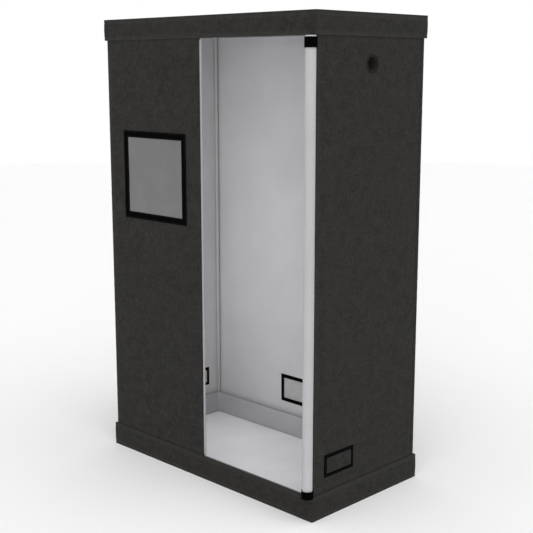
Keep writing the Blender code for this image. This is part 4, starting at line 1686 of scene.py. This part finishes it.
def swaged_profile(radius, length):
    """A tube's wall with a narrower neck, which fits into the next tube."""
    bore, neck, inside_neck = radius - TUBE_WALL, length - SPIGOT_LENGTH, SPIGOT_R - TUBE_WALL
    profile = [(radius - TUBE_LIP, 0.0), (radius, TUBE_LIP), (radius, neck - 0.003)]
    profile += [(SPIGOT_R + 0.0003, neck), (SPIGOT_R, neck + 0.001), (SPIGOT_R, length - TUBE_LIP)]
    profile += [(SPIGOT_R - TUBE_LIP, length), (inside_neck, length), (inside_neck, neck - 0.001)]
    return profile + [(bore, neck - 0.004), (bore, 0.0)]


def build_tubes():
    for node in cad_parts:
        if node.startswith(("post_", "rail_")):
            start, way, length, radius = tube_ends(node)
            make = swaged_profile if node.endswith("_lower") else plain_profile
            tube = lathe_mesh(make(radius, length), start, way, settings("frame").tube_sides)
            set_up(object_of(node + "_tube", tube, tube_paint_and_shade()), SHELL, "grey_tube", node)


def build_connectors():
    """Moulded three-way corners: a ball with a spigot for each tube."""
    grey = (0.085, 0.086, 0.09)
    nylon = finish_named("moulded", lambda: plain("grey_nylon", grey, 0.5, grain=420.0, uneven=0.08))
    ball, spigot = 0.0082, 0.0063
    for node in list(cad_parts):
        if not node.startswith("connector_"):
            continue
        a, b = low(node), high(node)
        signs = [1 if middle(node).x > 0 else -1, 1 if middle(node).y > 0 else -1]
        signs.append(1 if node.endswith("_top") else -1)
        at = Vector([(b[i] if sign > 0 else a[i]) - sign * ball for i, sign in enumerate(signs)])
        reach = (b - a).x - ball
        profile = [(spigot, 0.0), (spigot, reach - 0.002), (spigot - 0.002, reach)]
        profile += [(0.0002, reach), (0.0002, 0.0)]
        arms = [lathe_mesh(profile, at, way * -sign, 20) for way, sign in zip((X, Y, Z), signs)]
        obj = join_meshes(node + "_moulding", [uv_ball(at, ball), *arms], nylon)
        set_up(obj, SHELL, "corner_plastic", node)


def uv_ball(centre, radius):
    bm = bmesh.new()
    bmesh.ops.create_uvsphere(bm, u_segments=24, v_segments=14, radius=radius)
    bmesh.ops.translate(bm, verts=bm.verts, vec=centre)
    return bm


def build_roof_bars():
    """A tube across the roof, with a flat steel hook over the rail at each end."""
    start, _, _, radius = tube_ends("rail_top_front")
    rail_y, z = abs(start.y), start.z
    reach = rail_y - radius - 0.0006
    for side in ("left", "right"):
        node = "roof_bar_" + side
        x = middle(node).x
        profile = plain_profile(radius, 2 * reach)
        tube = lathe_mesh(profile, Vector((x, -reach, z)), Y, settings("frame").tube_sides)
        hooks = [hook_mesh(x, sign * rail_y, z, radius, sign) for sign in (-1, 1)]
        bar = join_meshes(node + "_tube", [tube, *hooks], tube_paint_and_shade())
        set_up(bar, side + "_roof_bar", "grey_tube", node)


def hook_mesh(x, y, z, radius, sign):
    """A strip of steel from inside the bar's end, up and over the rail."""
    thick = 0.0018
    inner = radius + 0.0004
    half = 0.0095
    angles = [math.radians(180 - 135 * k / 14) for k in range(15)]
    inner_arc = [(sign * inner * math.cos(a), inner * math.sin(a)) for a in angles]
    outer_arc = [(sign * (inner + thick) * math.cos(a), (inner + thick) * math.sin(a)) for a in angles]
    section = outer_arc + inner_arc[::-1]
    loops = []
    for dx in (-half, -half + 0.0006, half - 0.0006, half):
        shrink = 0.0003 if abs(dx) == half else 0.0
        loops.append([Vector((x + dx, y + dy, z + dz - shrink)) for dy, dz in section])
    bm = ring_mesh(loops, closed=False)
    for loop in (0, len(loops) - 1):
        bm.verts.ensure_lookup_table()
        count = len(section)
        verts = [bm.verts[loop * count + k] for k in range(count)]
        bm.faces.new(verts if loop else verts[::-1])
    bmesh.ops.recalc_face_normals(bm, faces=bm.faces)
    return bm


# Stage.


def build_stage():
    stage = settings("stage")
    ground = bmesh.new()
    bmesh.ops.create_circle(ground, cap_ends=True, cap_tris=False, segments=96, radius=14.0)
    ground_finish = Finish("pale_floor", roughness=0.9)
    tone = ground_finish.noise(ground_finish.place(), 0.8)
    ground_finish.done(ground_finish.ramp(tone, (0.93, 0.93, 0.93), (0.95, 0.95, 0.95)))
    object_of("ground", ground, ground_finish.material)

    world = bpy.context.scene.world or bpy.data.worlds.new("studio")
    bpy.context.scene.world = world
    world.use_nodes = True
    light_sky(world.node_tree, stage.sky)
    soft_light("front_light", 38.0, 12.0, 40.0, stage.front_light)
    soft_light("top_light", 55.0, 68.0, 70.0, stage.top_light)
    panel_light("inside_light", stage.inside_light)

    scene = bpy.context.scene
    scene.view_settings.view_transform = "Standard"
    data = bpy.data.cameras.new("camera")
    camera = bpy.data.objects.new("camera", data)
    scene.collection.objects.link(camera)
    data.lens = stage.lens
    data.sensor_width = 36.0
    data.clip_end = 100.0
    camera.location = Vector(CAMERA_AT) * high("roof_panel").z
    back = way_back(stage.azimuth, stage.elevation)
    camera.rotation_euler = back.to_track_quat("Z", "Y").to_euler()
    scene.camera = camera


def light_sky(tree, strength):
    """A white backdrop up to just above level, and a dimmer even sky over it."""
    backdrop = tree.nodes["Background"]
    backdrop.inputs["Color"].default_value = (1.0, 1.0, 1.0, 1.0)
    way = tree.nodes.new("ShaderNodeTexCoord")
    split = tree.nodes.new("ShaderNodeSeparateXYZ")
    fade = tree.nodes.new("ShaderNodeMapRange")
    fade.inputs["From Min"].default_value = math.sin(math.radians(9.0))
    fade.inputs["From Max"].default_value = math.sin(math.radians(22.0))
    fade.inputs["To Min"].default_value = 1.0
    fade.inputs["To Max"].default_value = strength
    tree.links.new(way.outputs["Generated"], split.inputs["Vector"])
    tree.links.new(split.outputs["Z"], fade.inputs["Value"])
    tree.links.new(fade.outputs["Result"], backdrop.inputs["Strength"])


def soft_light(name, azimuth, elevation, spread, strength):
    """A wide light from far off, at angles in degrees round the tent and above level."""
    data = bpy.data.lights.new(name, "SUN")
    data.angle = math.radians(spread)
    data.energy = strength
    light = bpy.data.objects.new(name, data)
    way = way_back(math.radians(azimuth), math.radians(elevation))
    light.rotation_euler = way.to_track_quat("Z", "Y").to_euler()
    bpy.context.scene.collection.objects.link(light)


def panel_light(name, power):
    """A tall panel light behind the front wall, beside the doorway, facing the rear wall."""
    data = bpy.data.lights.new(name, "AREA")
    data.shape = "RECTANGLE"
    data.size, data.size_y = PANEL_LIGHT_SIZE
    data.energy = power
    light = bpy.data.objects.new(name, data)
    light.visible_camera = False
    light.location = (-WALL_X / 2, 0.035 - WALL_Y, 0.53 * (BASE_TOP + CAP_LOW))
    light.rotation_euler = (-Y).to_track_quat("Z", "Y").to_euler()
    bpy.context.scene.collection.objects.link(light)


def way_back(azimuth, elevation):
    """The way from the tent to something at angles round it and above level."""
    level = math.cos(elevation)
    return Vector((math.sin(azimuth) * level, -math.cos(azimuth) * level, math.sin(elevation)))


# Operators.


class TENT_OT_stage(bpy.types.Operator):
    """Build the floor, lights and camera"""

    bl_idname = "tent.stage"
    bl_label = "Stage"

    def execute(self, context):
        build_stage()
        return {"FINISHED"}


class TENT_OT_walls(bpy.types.Operator):
    """Build the four cloth walls and their seams"""

    bl_idname = "tent.walls"
    bl_label = "Walls"

    def execute(self, context):
        build_walls()
        build_wall_seams()
        return {"FINISHED"}


class TENT_OT_bands(bpy.types.Operator):
    """Build the padded cap and base bands"""

    bl_idname = "tent.bands"
    bl_label = "Bands"

    def execute(self, context):
        build_bands()
        return {"FINISHED"}


class TENT_OT_roof_floor(bpy.types.Operator):
    """Build the roof and floor cloths"""

    bl_idname = "tent.roof_floor"
    bl_label = "Roof and floor"

    def execute(self, context):
        build_roof_and_floor()
        return {"FINISHED"}


class TENT_OT_tray(bpy.types.Operator):
    """Build the lift-out floor tray"""

    bl_idname = "tent.tray"
    bl_label = "Tray"

    def execute(self, context):
        build_tray()
        return {"FINISHED"}


class TENT_OT_window(bpy.types.Operator):
    """Build the film window and its borders"""

    bl_idname = "tent.window"
    bl_label = "Window"

    def execute(self, context):
        build_window()
        return {"FINISHED"}


class TENT_OT_vents(bpy.types.Operator):
    """Build the three flap vents"""

    bl_idname = "tent.vents"
    bl_label = "Vents"

    def execute(self, context):
        for side in ("left", "right", "rear"):
            build_vent(side)
        return {"FINISHED"}


class TENT_OT_ports(bpy.types.Operator):
    """Build the two sleeve ports"""

    bl_idname = "tent.ports"
    bl_label = "Ports"

    def execute(self, context):
        for side in ("left", "right"):
            build_port(side)
        return {"FINISHED"}


class TENT_OT_door(bpy.types.Operator):
    """Build the rolled door and its straps"""

    bl_idname = "tent.door"
    bl_label = "Rolled door"

    def execute(self, context):
        build_door_roll()
        build_straps()
        build_door_hems()
        return {"FINISHED"}


class TENT_OT_zip(bpy.types.Operator):
    """Build the zip and its sliders"""

    bl_idname = "tent.zip"
    bl_label = "Zip"

    def execute(self, context):
        build_zip()
        build_sliders()
        return {"FINISHED"}


class TENT_OT_tubes(bpy.types.Operator):
    """Build the posts, rails and roof bars"""

    bl_idname = "tent.tubes"
    bl_label = "Tubes"

    def execute(self, context):
        build_tubes()
        build_roof_bars()
        return {"FINISHED"}


class TENT_OT_connectors(bpy.types.Operator):
    """Build the corner connectors"""

    bl_idname = "tent.connectors"
    bl_label = "Connectors"

    def execute(self, context):
        build_connectors()
        return {"FINISHED"}


OPERATORS = (
    TENT_OT_stage,
    TENT_OT_walls,
    TENT_OT_bands,
    TENT_OT_roof_floor,
    TENT_OT_tray,
    TENT_OT_window,
    TENT_OT_vents,
    TENT_OT_ports,
    TENT_OT_door,
    TENT_OT_zip,
    TENT_OT_tubes,
    TENT_OT_connectors,
)


class TENT_PT_panel(bpy.types.Panel):
    bl_label = "Printer Enclosure Tent"
    bl_space_type = "VIEW_3D"
    bl_region_type = "UI"
    bl_category = "Tent"

    def draw(self, context):
        for made in OPERATORS:
            self.layout.operator(made.bl_idname)


GROUPS = {
    "tent_cloth": TentClothSettings,
    "tent_trim": TentTrimSettings,
    "tent_frame": TentFrameSettings,
    "tent_stage": TentStageSettings,
}
CLASSES = (*GROUPS.values(), *OPERATORS, TENT_PT_panel)


def register():
    for made in CLASSES:
        bpy.utils.register_class(made)
    for name, group in GROUPS.items():
        setattr(bpy.types.Scene, name, PointerProperty(type=group))


def unregister():
    for name in GROUPS:
        delattr(bpy.types.Scene, name)
    for made in reversed(CLASSES):
        bpy.utils.unregister_class(made)


def main():
    register()
    for made in OPERATORS:
        getattr(bpy.ops.tent, made.bl_idname.split(".")[1])()


if __name__ == "__main__":
    main()
